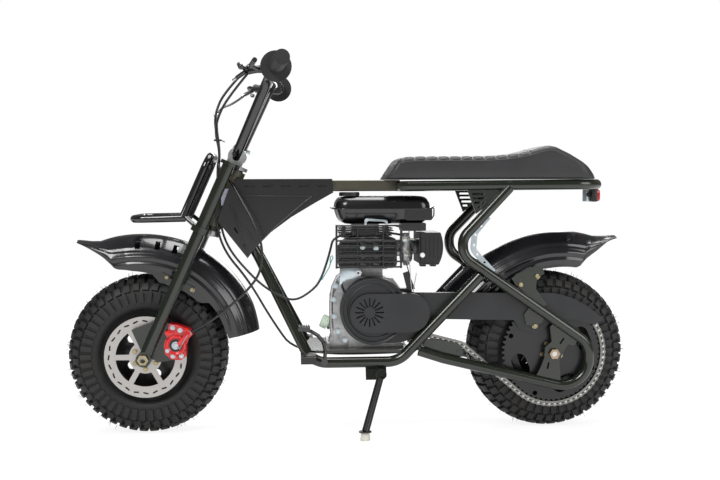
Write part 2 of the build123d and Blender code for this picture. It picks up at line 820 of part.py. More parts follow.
filler_plane = Plane(origin=(-40, -40, 240), x_dir=(0, 1, 0), z_dir=(-cos(radians(25)), 0, sin(radians(25))))
with BuildPart() as oil_filler:
    with BuildSketch(filler_plane.offset(-8)):
        Circle(10)
    extrude(amount=18)
    with BuildSketch(filler_plane.offset(10)):
        Circle(14)
    extrude(amount=16)
    add(crankcase.part, mode=Mode.SUBTRACT)

# Clutch cover and chain guard: one moulding, open towards the engine
drum_x = 50.0
drum_z = 277.0
drum_radius = 74.0
guard_wall = 2.0
guard_outer = cradle_y - cradle_tube_radius - seat_gap
guard_inner = guard_outer - guard_wall
drum_outer = 100.0
boss_outer = 111.0
boss_radius = 43.0
slot_count = 16
# Outline round the engine, then the rear end: x behind the rear axle, height above it
guard_front = [(60.0, 317.0), (50.0, 203.0), (112.0, 205.0), (150.0, 218.0), (207.0, 256.0)]
guard_rear = [
    (-88.0, 74.0), (-76.0, 56.0), (-33.0, 42.0), (-17.0, 58.0), (12.5, 76.5), (56.0, 73.0),
    (95.0, 61.0), (117.5, 74.0), (81.0, 103.0), (51.0, 120.0), (21.0, 130.0), (0.0, 134.0),
]
guard_outline = guard_front + [(rear_x + x, axle_z + z) for x, z in guard_rear]

with BuildPart() as chain_guard:
    with BuildSketch(side_plane(guard_inner)):
        Polygon(*guard_outline, align=None)
        with Locations((drum_x, drum_z)):
            Circle(drum_radius)
    extrude(amount=guard_wall)
    with BuildSketch(side_plane(guard_inner - 13)):
        Polygon(*guard_outline, align=None)
        offset(amount=-guard_wall, mode=Mode.SUBTRACT)
        with Locations((300, 340)):
            Rectangle(700, 100, mode=Mode.INTERSECT)
    extrude(amount=13)
    with BuildSketch(side_plane(66)):
        with Locations((drum_x, drum_z)):
            Circle(drum_radius)
    extrude(amount=drum_outer - 66)
    with BuildSketch(side_plane(65)):
        with Locations((drum_x, drum_z)):
            Circle(drum_radius - guard_wall)
    extrude(amount=drum_outer - guard_wall - 65, mode=Mode.SUBTRACT)
    with BuildSketch(side_plane(65)):
        Polygon((60, 190), (200, 190), (200, 309), (60, 309), align=None)
    extrude(amount=guard_inner - 65, mode=Mode.SUBTRACT)
    with BuildSketch(side_plane(60)):
        with Locations((rear_x, axle_z)):
            Circle(big_pitch_radius + plate_half_height + 2)
    extrude(amount=guard_inner - 60, mode=Mode.SUBTRACT)
    with BuildSketch(side_plane(guard_inner)):
        with Locations(((crank_x + 130) / 2, 273)):
            SlotCenterToCenter(130 - crank_x, 2 * boss_radius)
    extrude(amount=boss_outer - guard_inner)
    with BuildSketch(side_plane(guard_inner - 1)):
        with Locations(((crank_x + 130) / 2, 273)):
            SlotCenterToCenter(130 - crank_x, 2 * boss_radius - 2 * guard_wall)
    extrude(amount=boss_outer - guard_inner + 1 - guard_wall, mode=Mode.SUBTRACT)
    with BuildSketch(side_plane(boss_outer - guard_wall - 1)):
        with Locations((crank_x, crank_z)):
            with PolarLocations(22, slot_count, start_angle=90):
                SlotOverall(20, 3)
    extrude(amount=guard_wall + 2, mode=Mode.SUBTRACT)

with BuildPart() as drive_sprocket:
    with BuildSketch(side_plane(chain_y - 2, crank_x, crank_z)):
        with BuildLine():
            Polyline(
                *tooth_outline(
                    drive_teeth, small_pitch_radius - roller_radius - seat_gap - 5,
                    small_pitch_radius - roller_radius - seat_gap,
                ),
                close=True,
            )
        make_face()
        Circle(shaft_radius + shaft_gap, mode=Mode.SUBTRACT)
    extrude(amount=4)

with BuildPart() as tensioner:
    with BuildSketch(side_plane(cradle_y - 12)):
        Polygon((166, 214), (232, 204), (248, 194), (248, 172), (205, 170), (160, 182), align=None)
    extrude(amount=4)
    with BuildSketch(side_plane(chain_y - 5)):
        with Locations((tensioner_x, tensioner_z)):
            Circle(tensioner_pitch_radius - plate_half_height - seat_gap)
    extrude(amount=10)
    with BuildSketch(side_plane(chain_y)):
        with Locations((tensioner_x, tensioner_z)):
            Circle(5)
    extrude(amount=cradle_y - 12 - chain_y + 6)
    add(cradle_left.part, mode=Mode.SUBTRACT)
    add(loop_left, mode=Mode.SUBTRACT)

# Seat: a plain closed cushion on the rails
seat_low = rail_z + 3 + rail_tube_radius + seat_gap
with BuildPart() as seat:
    with BuildSketch(side_plane(-seat_width / 2)):
        with BuildLine():
            Polyline((552, seat_low), (80, seat_low), (80, 586), (90, 610))
            ThreePointArc((90, 610), (97, 616), (108, 618))
            Polyline((108, 618), (330, 618), (404, 632))
            ThreePointArc((404, 632), (444, 642), (468, 637))
            Polyline((468, 637), (526, 606), (552, 582), (552, seat_low))
        make_face()
    extrude(amount=seat_width)
    fillet(seat.edges().filter_by(Axis.Z).group_by(Axis.X)[0], 18)
    fillet(seat.edges().filter_by(Axis.Z).group_by(Axis.X)[-1], 30)

# Fenders: one curved channel section, turned about the wheel, with a flared beak
fender_radius = tyre_radius + 77.0
fender_depth = 70.0
rear_fender_depth = 88.0
fender_wall = 3.0
fender_rise = 22.0
beak_length = 60.0
beak_flare = 6.0
rear_fender_radius = tyre_radius + 90.0
fender_rib_radius = 5.0
fender_rib_y = 28.0
fender_rib_drop = 6.5
notch_count = 3
notch_first = 74.5
notch_step = 9.8
notch_middle = 34.0
notch_length = 40.0
notch_width = 5.0


def fender_section(radius, half_width, depth, rise):
    """Draw the closed outline of a bent sheet: an arched crown with a wall on each side.

    Sketch x is the bike's width and sketch y the distance from the axle. The walls start rise
    below the crown and end depth below it.
    """
    skirt = radius - depth
    brow = radius - rise
    lean_in = 4.0
    outer = ((-half_width, skirt), (-half_width + lean_in, brow), (0, radius))
    inner_half = half_width - fender_wall
    inner = ((-inner_half, skirt), (-inner_half + lean_in, brow - 2), (0, radius - fender_wall))
    for low, high, top in (outer, inner):
        Line(low, high)
        ThreePointArc(high, top, (-high[0], high[1]))
        Line((-high[0], high[1]), (-low[0], low[1]))
    Line(outer[0], inner[0])
    Line((-outer[0][0], outer[0][1]), (-inner[0][0], inner[0][1]))


def make_fender(x, outward, radius, depth, start, stop, tail):
    """A fender over the wheel at x: outward is -1 for the front and 1 for the rear.

    It turns from start to stop degrees, measured up from the level line towards the middle of
    the bike, has a beak beyond stop and a straight tail before start.
    """
    def section_plane(angle):
        along = Vector(outward * sin(radians(angle)), 0, cos(radians(angle)))
        return Plane(origin=(x, 0, axle_z), x_dir=(0, outward, 0), z_dir=along)

    first = section_plane(start)
    last = section_plane(stop)
    with BuildPart() as fender:
        with BuildSketch(first):
            with BuildLine():
                fender_section(radius, fender_half_width, depth, fender_rise)
            make_face()
        revolve(axis=Axis((x, 0, axle_z), (0, outward, 0)), revolution_arc=stop - start)
        with BuildSketch(first):
            with Locations((-fender_rib_y, radius - fender_rib_drop), (fender_rib_y, radius - fender_rib_drop)):
                Circle(fender_rib_radius)
        revolve(axis=Axis((x, 0, axle_z), (0, outward, 0)), revolution_arc=stop - start)
        if tail:
            with BuildSketch(first):
                with BuildLine():
                    fender_section(radius, fender_half_width, depth, fender_rise)
                make_face()
            extrude(amount=-tail)
        with BuildSketch(last):
            with BuildLine():
                fender_section(radius, fender_half_width, depth, fender_rise)
            make_face()
        with BuildSketch(last.offset(beak_length)):
            with BuildLine():
                fender_section(radius + beak_flare, fender_half_width - 14, 22, 10)
            make_face()
        loft()
    return fender.part


# The front fender's sides reach down to the two bolts beside each fork leg
fender_tab = [(-436, 366), (-422, 345), (-339, 304), (-316, 306), (-310, 340), (-350, 372), (-420, 388)]

with BuildPart() as front_fender:
    add(make_fender(front_x, -1, fender_radius, fender_depth, 10, 113, 0))
    for tab_left in (fender_half_width - fender_wall, -fender_half_width):
        with BuildSketch(side_plane(tab_left)):
            Polygon(*fender_tab, align=None)
        extrude(amount=fender_wall)
    for notch in range(notch_count):
        angle = radians(notch_first + notch * notch_step)
        outward = Vector(cos(angle), 0, sin(angle))
        crown = Vector(front_x, 0, axle_z) + outward * fender_radius
        with BuildSketch(Plane(origin=crown, x_dir=(0, 1, 0), z_dir=outward)):
            with Locations((-notch_middle, 0), (notch_middle, 0)):
                SlotOverall(notch_length, notch_width)
        extrude(amount=-fender_rise - 12, mode=Mode.SUBTRACT)

rear_fender = make_fender(rear_x, 1, rear_fender_radius, rear_fender_depth, 46, 113, 74)

# Tail light on a bracket under the end of the rails
with BuildPart() as tail_light:
    with BuildSketch(side_plane(-32)):
        Polygon(
            (560, rail_z - 7), (586, rail_z - 7), (586, 514), (572, 514), (572, rail_z - 12),
            (560, rail_z - 12), align=None,
        )
    extrude(amount=64)
    add(seat_rails.part, mode=Mode.SUBTRACT)

# Axles with their spacers and nuts
def make_axle(x, hub_left, hub_right, seat_left, seat_right):
    """A bolt through the wheel with a spacer each side, from the hub's ends to the frame."""
    with BuildPart() as axle:
        with BuildSketch(side_plane(-seat_right - 14, x, axle_z)):
            Circle(axle_radius)
        extrude(amount=seat_left + seat_right + 28)
        for left, length in (
            (hub_left + running_gap, seat_left - hub_left - running_gap - seat_gap),
            (-seat_right + seat_gap, seat_right - hub_right - running_gap - seat_gap),
        ):
            with BuildSketch(side_plane(left, x, axle_z)):
                Circle(nut_radius)
            extrude(amount=length)
    return axle.part


def make_nuts(x, seat_left, seat_right):
    """The two hexagon nuts on an axle, face to face with what it is held in."""
    with BuildPart() as nuts:
        for left, length in ((seat_left + seat_gap, 9), (-seat_right - seat_gap, -9)):
            with BuildSketch(side_plane(left, x, axle_z)):
                RegularPolygon(nut_radius, 6)
                Circle(axle_radius + shaft_gap, mode=Mode.SUBTRACT)
            extrude(amount=length)
    return nuts.part


leg_lug_half = 14.0
front_axle = make_axle(front_x, hub_to_disc, hub_short, leg_y - leg_lug_half, leg_y - leg_lug_half)
rear_axle = make_axle(
    rear_x, hub_to_sprocket, hub_to_disc, dropout_y - dropout_thickness / 2,
    dropout_y - dropout_thickness / 2,
)
front_nuts = make_nuts(front_x, leg_y + leg_lug_half, leg_y + leg_lug_half)
rear_nuts = make_nuts(
    rear_x, dropout_y + dropout_thickness / 2, dropout_y + dropout_thickness / 2
)

# Fork: two legs with axle lugs, held by a lower clamp and a top plate on the steerer
fork_top = 466.0
lower_clamp_low = 300.0
clamp_thickness = 14.0
top_plate_low = head_high + 4.0
top_plate_thickness = 8.0

caliper_tab = [(-28, 62), (30, 84), (60, 74), (54, 48), (62, 20), (66, -4), (30, -10), (-5, 10)]
fender_strap = [(-414, 364), (-344, 330), (-351, 315), (-421, 349)]
fender_strap_block = [(-398, 355), (-365, 339), (-372, 325), (-405, 341)]
caliper_tab_left = 86.0
caliper_tab_thickness = 4.0

with BuildPart() as fork_legs:
    for leg_side in (-1, 1):
        with BuildSketch(steer.offset(-14)):
            with Locations((0, leg_side * leg_y)):
                Circle(fork_tube_radius)
        extrude(amount=fork_top + 14)
        with BuildSketch(side_plane(leg_side * leg_y - leg_lug_half, front_x, axle_z)):
            Circle(fork_tube_radius + 3)
        extrude(amount=2 * leg_lug_half)
    with BuildSketch(side_plane(caliper_tab_left, front_x, axle_z)):
        Polygon(*caliper_tab, align=None)
    extrude(amount=caliper_tab_thickness)
    with BuildSketch(side_plane(fender_half_width + seat_gap)):
        Polygon(*fender_strap, align=None)
    extrude(amount=bracket_thickness)
    with BuildSketch(side_plane(fender_half_width + seat_gap)):
        Polygon(*fender_strap_block, align=None)
    extrude(amount=leg_y - fender_half_width)
    with BuildSketch(side_plane(-fender_half_width - seat_gap)):
        Polygon(*fender_strap, align=None)
    extrude(amount=-bracket_thickness)
    with BuildSketch(side_plane(-fender_half_width - seat_gap)):
        Polygon(*fender_strap_block, align=None)
    extrude(amount=fender_half_width - leg_y)
    with BuildSketch(side_plane(0, front_x, axle_z)):
        Circle(axle_radius + shaft_gap)
    extrude(amount=fork_spread, both=True, mode=Mode.SUBTRACT)

with BuildPart() as fork_clamps:
    with BuildSketch(steer.offset(lower_clamp_low)):
        with Locations((0, -leg_y), (0, leg_y)):
            Circle(fork_tube_radius + 7)
        with Locations((fork_offset, 0)):
            Circle(head_tube_radius + 2)
        Polygon(
            (-14, -leg_y), (18, -leg_y), (fork_offset + 20, 0), (18, leg_y), (-14, leg_y),
            (fork_offset - 22, 0), align=None,
        )
        with Locations((0, -leg_y), (0, leg_y)):
            Circle(fork_tube_radius + shaft_gap, mode=Mode.SUBTRACT)
    extrude(amount=clamp_thickness)
    with BuildSketch(steer.offset(top_plate_low)):
        with Locations((0, -leg_y), (0, leg_y)):
            Circle(fork_tube_radius + 6)
        Polygon(
            (-16, -leg_y), (24, -leg_y), (36, -30), (36, 30), (24, leg_y), (-16, leg_y),
            align=None,
        )
        with Locations((0, -leg_y), (0, leg_y)):
            Circle(fork_tube_radius + shaft_gap, mode=Mode.SUBTRACT)
    extrude(amount=top_plate_thickness)
    with BuildSketch(steer.offset(lower_clamp_low)):
        with Locations((fork_offset, 0)):
            Circle(steerer_radius)
    extrude(amount=top_plate_low - lower_clamp_low)
    with BuildSketch(steer.offset(lower_clamp_low + clamp_thickness)):
        with Locations((fork_offset, 0)):
            Circle(head_tube_radius - 2)
    extrude(amount=head_low - lower_clamp_low - clamp_thickness - running_gap)

# Handlebar: one bent tube in two clamps, with grips, perches and levers
bar_low = 486.0
bar_half_low = 52.0
bar_high = 672.0
bar_bend_y = 84.0
bar_end_back = 26.0
bar_end_up = 693.0
bar_half_width = 360.0
bar_back = 4.0
grip_length = 118.0
grip_radius = 15.5
flange_radius = 32.0


def bar_points():
    """The handlebar's corners, from the left end to the right end."""
    half = [
        (bar_end_back, -bar_half_width, bar_end_up),
        (bar_back, -bar_bend_y - 20, bar_high),
        (bar_back, -bar_half_low, bar_low),
    ]
    return half + [(back, -side, up) for back, side, up in reversed(half)]


with BuildPart() as handlebar:
    add(tube([fork_point(*p) for p in bar_points()], [42, 25, 25, 42], bar_tube_radius))

with BuildPart() as bar_clamps:
    for clamp_side in (-1, 1):
        with BuildSketch(
            Plane(
                origin=fork_point(0, clamp_side * 15 + 10, 0), x_dir=steer.x_dir, z_dir=(0, -1, 0)
            )
        ):
            with Locations((bar_back, bar_low)):
                Circle(bar_tube_radius + 9)
            with Locations((bar_back, (top_plate_low + top_plate_thickness + bar_low) / 2)):
                Rectangle(34, bar_low - top_plate_low - top_plate_thickness - seat_gap)
            with Locations((bar_back, bar_low)):
                Circle(bar_tube_radius + shaft_gap, mode=Mode.SUBTRACT)
            with Locations((bar_back, top_plate_low + top_plate_thickness - 19.8)):
                Rectangle(60, 40, mode=Mode.SUBTRACT)
        extrude(amount=20)

bar_run = Vector(bar_end_back - bar_back, -(bar_half_width - bar_bend_y - 20), bar_end_up - bar_high)
bar_unit = bar_run.normalized()


def bar_plane(side, inboard):
    """The plane square to the grip end of the bar, inboard millimetres from its tip."""
    tip = Vector(bar_end_back, -bar_half_width, bar_end_up) - bar_unit * inboard
    origin = fork_point(tip.X, side * -tip.Y, tip.Z)
    direction = fork_point(tip.X + bar_unit.X, side * -(tip.Y + bar_unit.Y), tip.Z + bar_unit.Z) - origin
    return Plane(origin=origin, x_dir=steer.x_dir.cross(direction), z_dir=direction)


with BuildPart() as grips:
    for grip_side in (-1, 1):
        with BuildSketch(bar_plane(grip_side, grip_length)):
            Circle(grip_radius)
        extrude(amount=grip_length + 4)
        with BuildSketch(bar_plane(grip_side, grip_length)):
            Circle(flange_radius)
        extrude(amount=5)
    add(handlebar.part, mode=Mode.SUBTRACT)

lever_drop = 44.0
perch_length = 58.0
with BuildPart() as controls:
    for lever_side in (-1, 1):
        with BuildSketch(bar_plane(lever_side, grip_length + 46)):
            Circle(bar_tube_radius + 6)
        extrude(amount=26)
        near = bar_plane(lever_side, grip_length + 33).origin
        forward = (fork_point(-0.9, 0, -0.43) - fork_point(0, 0, 0)).normalized()
        pivot = near + forward * perch_length
        far = bar_plane(lever_side, 26).origin + forward * (lever_drop + 6)
        middle = bar_plane(lever_side, grip_length - 20).origin + forward * (lever_drop + 8)
        add(rod(near, pivot, 8))
        add(tube([near + forward * (lever_drop - 12), middle, far], [40], 5))
    add(handlebar.part, mode=Mode.SUBTRACT)

# Front rack: an upright hoop along the fork and a level hoop ahead of it
rack_tube = 8.5
rack_y = 80.0
rack_back = -47.0
with BuildPart() as front_rack:
    upright = [
        (rack_back, -rack_y, 314), (rack_back, -rack_y, 462), (rack_back, rack_y, 462),
        (rack_back, rack_y, 314),
    ]
    add(tube([fork_point(*p) for p in upright], [30, 30], rack_tube))
    level_z = fork_point(rack_back, 0, 314).Z
    level_x = fork_point(rack_back, 0, 314).X
    level = [
        (level_x + 6, -rack_y, level_z), (level_x - 108, -rack_y, level_z - 2),
        (level_x - 108, rack_y, level_z - 2), (level_x + 6, rack_y, level_z),
    ]
    add(tube(level, [26, 26], rack_tube))
    add(rod((level_x - 40, -rack_y, level_z), (level_x - 40, rack_y, level_z), 5))
    for stay_side in (-1, 1):
        add(
            rod(
                fork_point(rack_back, stay_side * rack_y, 320),
                fork_point(0, stay_side * leg_y, 306), 5,
            )
        )
    add(fork_legs.part, mode=Mode.SUBTRACT)
    add(fork_clamps.part, mode=Mode.SUBTRACT)

# Brake calipers: a cast body over the disc's edge on a plate from the fork leg or the axle plate
caliper_inner = disc_y - 9.0
caliper_outer = dropout_y - dropout_thickness / 2
caliper_slot = 1.5
caliper_outline = [
    (55, 76), (70, 74), (86, 68), (100, 62), (106, 52), (98, 44), (92, 30), (91, 4), (80, -4),
    (60, -3), (45, 10), (43, 30), (50, 52),
]
caliper_bolts = ((63, 68), (79, 62), (52, 18), (63, 6), (81, 6))
caliper_centre = (69, 29)
caliper_drum_radius = 22.0

with BuildPart() as front_caliper:
    with BuildSketch(side_plane(caliper_inner, front_x, axle_z)):
        Polygon(*caliper_outline, align=None)
    extrude(amount=caliper_outer - caliper_inner)
    with BuildSketch(side_plane(caliper_outer, front_x, axle_z)):
        with Locations(caliper_centre):
            Circle(caliper_drum_radius)
        with Locations(*caliper_bolts):
            Circle(4)
    extrude(amount=4)
    with BuildSketch(side_plane(caliper_outer + 4, front_x, axle_z)):
        with Locations(caliper_centre):
            RegularPolygon(8, 6)
    extrude(amount=3)
    with BuildSketch(side_plane(disc_y - disc_thickness / 2 - caliper_slot, front_x, axle_z)):
        Circle(disc_radius + 5)
    extrude(amount=disc_thickness + 2 * caliper_slot, mode=Mode.SUBTRACT)
    add(fork_legs.part, mode=Mode.SUBTRACT)

with BuildPart() as rear_caliper:
    with BuildSketch(side_plane(-caliper_outer, rear_x, axle_z)):
        Polygon(*[(-x, z) for x, z in caliper_outline], align=None)
    extrude(amount=caliper_outer - caliper_inner)
    with BuildSketch(side_plane(-caliper_outer, rear_x, axle_z)):
        Polygon((-44, 50), (-36, 92), (-46, 118), (-82, 142), (-90, 58), align=None)
    extrude(amount=caliper_tab_thickness)
    with BuildSketch(side_plane(-disc_y - disc_thickness / 2 - caliper_slot, rear_x, axle_z)):
        Circle(disc_radius + 5)
    extrude(amount=disc_thickness + 2 * caliper_slot, mode=Mode.SUBTRACT)
    add(loop_right, mode=Mode.SUBTRACT)

# Cables: clipped together ahead of the top plate, then each along the frame to what it works
front_brake_route = [
    (-217.0, -204.0, 787.0), (-264.0, -158.0, 738.0), (-290.0, -84.0, 700.0), (-297.0, -48.5, 668.0),
    (-289.0, -48.5, 636.0), (-289.0, -48.5, 612.0), (-293.3, -50.0, 600.0), (-262.0, -76.0, 560.0),
    (-237.0, -120.0, 520.0), (-206.0, -158.0, 468.0), (-191.0, -166.0, 422.0),
    (-196.0, -164.0, 369.0), (-226.0, -156.0, 329.0), (-275.0, -134.0, 285.0),
    (-320.0, -111.0, 251.0), (-356.0, -94.0, 232.0),
]
rear_brake_route = [
    (-221.0, -210.0, 793.0), (-270.0, -164.0, 750.0), (-294.0, -84.0, 712.0), (-298.0, -42.0, 685.0),
    (-289.0, -42.0, 640.0), (-289.0, -42.0, 612.0), (-293.3, -42.0, 600.0), (-294.0, -34.0, 546.0),
    (-300.0, -33.0, 476.0), (-281.0, -40.0, 408.0), (-227.0, -50.0, 345.0), (-175.0, -30.0, 250.0),
    (-120.0, -30.0, 172.0), (120.0, -30.0, 172.0), (170.0, 60.0, 168.0), (205.0, 84.0, 160.0),
    (310.0, 86.0, 152.0), (340.0, 86.0, 170.0), (366.0, 86.0, 205.0),
]
throttle_route = [
    (-221.0, 207.0, 793.0), (-262.0, 120.0, 748.0), (-290.0, -20.0, 728.0), (-296.0, -36.0, 690.0),
    (-289.0, -36.0, 640.0), (-289.0, -36.0, 612.0), (-291.0, -35.5, 600.0), (-284.5, -30.5, 545.0),
    (-291.0, -31.0, 474.0), (-272.0, -38.0, 413.0), (-217.0, -62.0, 352.0), (-180.0, -70.0, 322.0),
    (-143.0, -74.0, 303.0), (-118.0, -72.0, 301.0), (-90.0, -66.0, 317.0), (-67.0, -62.0, 339.0),
    (-45.0, -42.0, 400.0), (-35.0, -40.0, 447.0), (98.0, -40.0, 449.0), (124.0, -31.0, 440.0),
]

with BuildPart() as front_brake_cable:
    add(cable(front_brake_route))
    add(controls.part, mode=Mode.SUBTRACT)
    add(front_caliper.part, mode=Mode.SUBTRACT)

with BuildPart() as control_cables:
    add(cable(rear_brake_route))
    add(cable(throttle_route))
    add(controls.part, mode=Mode.SUBTRACT)
    add(rear_caliper.part, mode=Mode.SUBTRACT)
    add(carburettor.part, mode=Mode.SUBTRACT)

# Perforated strip that steadies the rear fender from the left loop
strip_left = 90.0
strip_thickness = 2.5
strip_width = 13.0
strip_bend = 18.0
strip_path = [(306.0, 484.0), (276.0, 448.0), (272.0, 410.0), (318.0, 360.0)]
strip_holes = ((290.7, 463.0), (277.5, 444.0), (274.5, 421.0), (282.0, 400.0), (298.0, 382.0))

with BuildPart() as zinc_strip:
    with BuildSketch(side_plane(strip_left)):
        with BuildLine():
            FilletPolyline(*strip_path, radius=strip_bend)
        trace(line_width=strip_width)
        with Locations(*strip_holes):
            Circle(2.6, mode=Mode.SUBTRACT)
    extrude(amount=strip_thickness)
    add(loop_left, mode=Mode.SUBTRACT)

# The whole bike leans onto its stand, and its origin goes to the middle of its footprint
grip_tip = bar_plane(-1, -4).origin
middle_x = (front_x + rear_x) / 2
park_y = (grip_tip.Z - ground_z) * lean_sin
park = Location((-middle_x, park_y, ground_drop)) * Rot(X=lean_angle) * Location((0, 0, -ground_z))

pieces = {
    "seat_rails": seat_rails.part,
    "head_tube": head_tube.part,
    "cradle_left": cradle_left.part,
    "cradle_right": cradle_right.part,
    "loop_left": loop_left,
    "loop_right": loop_right,
    "neck_cover": neck_cover.part,
    "engine_plate": engine_plate.part,
    "foot_pegs": foot_pegs.part,
    "stand_bracket": stand_bracket.part,
    "crankcase": crankcase.part,
    "cylinder": cylinder.part,
    "fuel_tank": fuel_tank.part,
    "fuel_cap": fuel_cap.part,
    "muffler": muffler.part,
    "muffler_guard": muffler_guard.part,
    "carburettor": carburettor.part,
    "air_box": air_box.part,
    "governor": governor.part,
    "recoil_starter": recoil_starter.part,
    "oil_filler": oil_filler.part,
    "chain_guard": chain_guard.part,
    "chain": chain.part,
    "drive_sprocket": drive_sprocket.part,
    "tensioner": tensioner.part,
    "seat": seat.part,
    "rear_fender": rear_fender,
    "tail_light": tail_light.part,
    "rear_axle": rear_axle,
    "rear_nuts": rear_nuts,
    "rear_caliper": rear_caliper.part,
    "zinc_strip": zinc_strip.part,
    "control_cables": control_cables.part,
    "fork_legs": fork_legs.part,
    "fork_clamps": fork_clamps.part,
    "handlebar": handlebar.part,
    "bar_clamps": bar_clamps.part,
    "grips": grips.part,
    "controls": controls.part,
    "front_rack": front_rack.part,
    "front_fender": front_fender.part,
    "front_caliper": front_caliper.part,
    "front_brake_cable": front_brake_cable.part,
    "front_axle": front_axle,
    "front_nuts": front_nuts,
    "front_tyre": front_tyre,
    "front_rim": front_rim,
    "front_disc": front_disc,
    "rear_tyre": rear_tyre,
    "rear_rim": rear_rim,
    "rear_sprocket": rear_sprocket.part,
    "rear_disc": rear_disc,
    "stand_leg": stand_leg.part,
    "stand_foot": stand_foot.part,
}

os.makedirs("parts", exist_ok=True)
for name, solid in pieces.items():
    parked = solid.moved(park)
    parked.label = name
    export_step(parked, f"parts/{name}.step")
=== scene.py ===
# %% [markdown]
# # A mini dirt bike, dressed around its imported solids
# The bike was modelled upright and then leaned four degrees onto its side stand. This script
# loads those solids as a fixed frame, gives each one a finish, and replaces the ones whose real
# surface is richer than a plain solid: tyres, seat, fenders, tank, muffler, carburettor, cables
# and tail light.

# %% Load the frame
import json
import math

import bmesh
import bpy
import numpy as np
from mathutils import Matrix, Vector


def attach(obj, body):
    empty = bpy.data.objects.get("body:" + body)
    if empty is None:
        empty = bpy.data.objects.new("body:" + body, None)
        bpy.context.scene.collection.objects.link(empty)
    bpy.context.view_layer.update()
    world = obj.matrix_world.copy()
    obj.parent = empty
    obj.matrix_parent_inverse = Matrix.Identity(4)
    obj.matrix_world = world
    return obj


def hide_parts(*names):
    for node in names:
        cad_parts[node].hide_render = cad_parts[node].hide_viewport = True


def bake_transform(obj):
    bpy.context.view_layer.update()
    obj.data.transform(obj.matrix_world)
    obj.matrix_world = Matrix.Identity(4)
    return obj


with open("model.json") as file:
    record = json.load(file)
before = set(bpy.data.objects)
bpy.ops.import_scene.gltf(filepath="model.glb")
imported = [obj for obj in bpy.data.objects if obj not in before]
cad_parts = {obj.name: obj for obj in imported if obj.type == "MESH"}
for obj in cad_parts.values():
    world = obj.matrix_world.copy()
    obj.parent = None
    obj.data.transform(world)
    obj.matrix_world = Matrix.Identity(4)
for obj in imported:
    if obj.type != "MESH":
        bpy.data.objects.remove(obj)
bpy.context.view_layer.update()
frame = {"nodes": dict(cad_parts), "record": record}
print("solids in the frame:", len(frame["nodes"]))

# %% [markdown]
# ## From the upright bike to the leaned one
# Every new piece is worked out in millimetres on the upright bike: x runs rearward, y to the
# right and z up, with x = 0 midway between the axles and the ground at z = 0. One turn about X
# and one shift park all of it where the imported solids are.

# %% The park placement and the bike's driving sizes
LEAN = math.radians(4.0)
PARK_SHIFT = np.array([0.0, 55.852, 0.274])
FRONT_X = -452.5
REAR_X = 452.5
AXLE_Z = 178.0
RAKE = math.radians(24.0)
TURN = 2.0 * math.pi


def parked(points):
    """Upright millimetres to leaned metres: turn by the lean about X, add the shift, scale."""
    p = np.asarray(points, float)
    y = p[..., 1] * math.cos(LEAN) - p[..., 2] * math.sin(LEAN)
    z = p[..., 1] * math.sin(LEAN) + p[..., 2] * math.cos(LEAN)
    return (np.stack([p[..., 0], y, z], -1) + PARK_SHIFT) / 1000.0


print("front axle, parked:", parked([FRONT_X, 0, AXLE_Z]).round(3))

# %% [markdown]
# ## Camera
# The photograph is a catalogue picture, taken with a long lens level with the bike.

# %% Camera
CAMERA_PLACE = (-0.13384, -2.37012, 0.38435)
CAMERA_YAW = math.radians(3.83)
CAMERA_PITCH = math.radians(1.05)
CAMERA_ROLL = math.radians(-0.45)
LENS_MM = 52.4
SENSOR_MM = 36.0


def camera_axes(yaw, pitch, roll):
    """Columns right, up and back of a camera that looks along +Y, yawed, pitched and rolled."""
    ahead = np.array([
        math.sin(yaw) * math.cos(pitch), math.cos(yaw) * math.cos(pitch), math.sin(pitch)
    ])
    right = np.array([math.cos(yaw), -math.sin(yaw), 0.0])
    up = np.cross(right, ahead)
    turned = right * math.cos(roll) + up * math.sin(roll)
    raised = up * math.cos(roll) - right * math.sin(roll)
    return np.stack([turned, raised, -ahead], 1)


camera = bpy.data.objects.new("catalogue_camera", bpy.data.cameras.new("catalogue_camera"))
camera.data.lens = LENS_MM
camera.data.sensor_width = SENSOR_MM
placing = Matrix(camera_axes(CAMERA_YAW, CAMERA_PITCH, CAMERA_ROLL).tolist()).to_4x4()
placing.translation = CAMERA_PLACE
camera.matrix_world = placing
bpy.context.scene.collection.objects.link(camera)
bpy.context.scene.camera = camera
bpy.context.scene.view_settings.view_transform = "Standard"

# %% [markdown]
# ## Shader maths as Python
# A procedural finish is arithmetic on patterns. One small class wraps a node's output socket,
# so that writing `noise * 0.1 + 0.3` adds the Math nodes, and one method adds any other node.

# %% A wrapped socket and a finish being made


class Wire:
    """One output socket. An expression on wires adds the Math nodes that work it out."""

    def __init__(self, finish, socket):
        self.finish = finish
        self.socket = socket

    def maths(self, operation, first, second):
        return self.finish.node("ShaderNodeMath", {"operation": operation}, {0: first, 1: second})

    def __add__(self, other):
        return self.maths("ADD", self, other)

    def __mul__(self, other):
        return self.maths("MULTIPLY", self, other)

    def __pow__(self, other):
        return self.maths("POWER", self, other)

    def step(self, low, high):
        """0 below low, 1 above high and a smooth slope between them."""
        ends = {0: self, 1: low, 2: high}
        return self.finish.node("ShaderNodeMapRange", {"interpolation_type": "SMOOTHSTEP"}, ends)


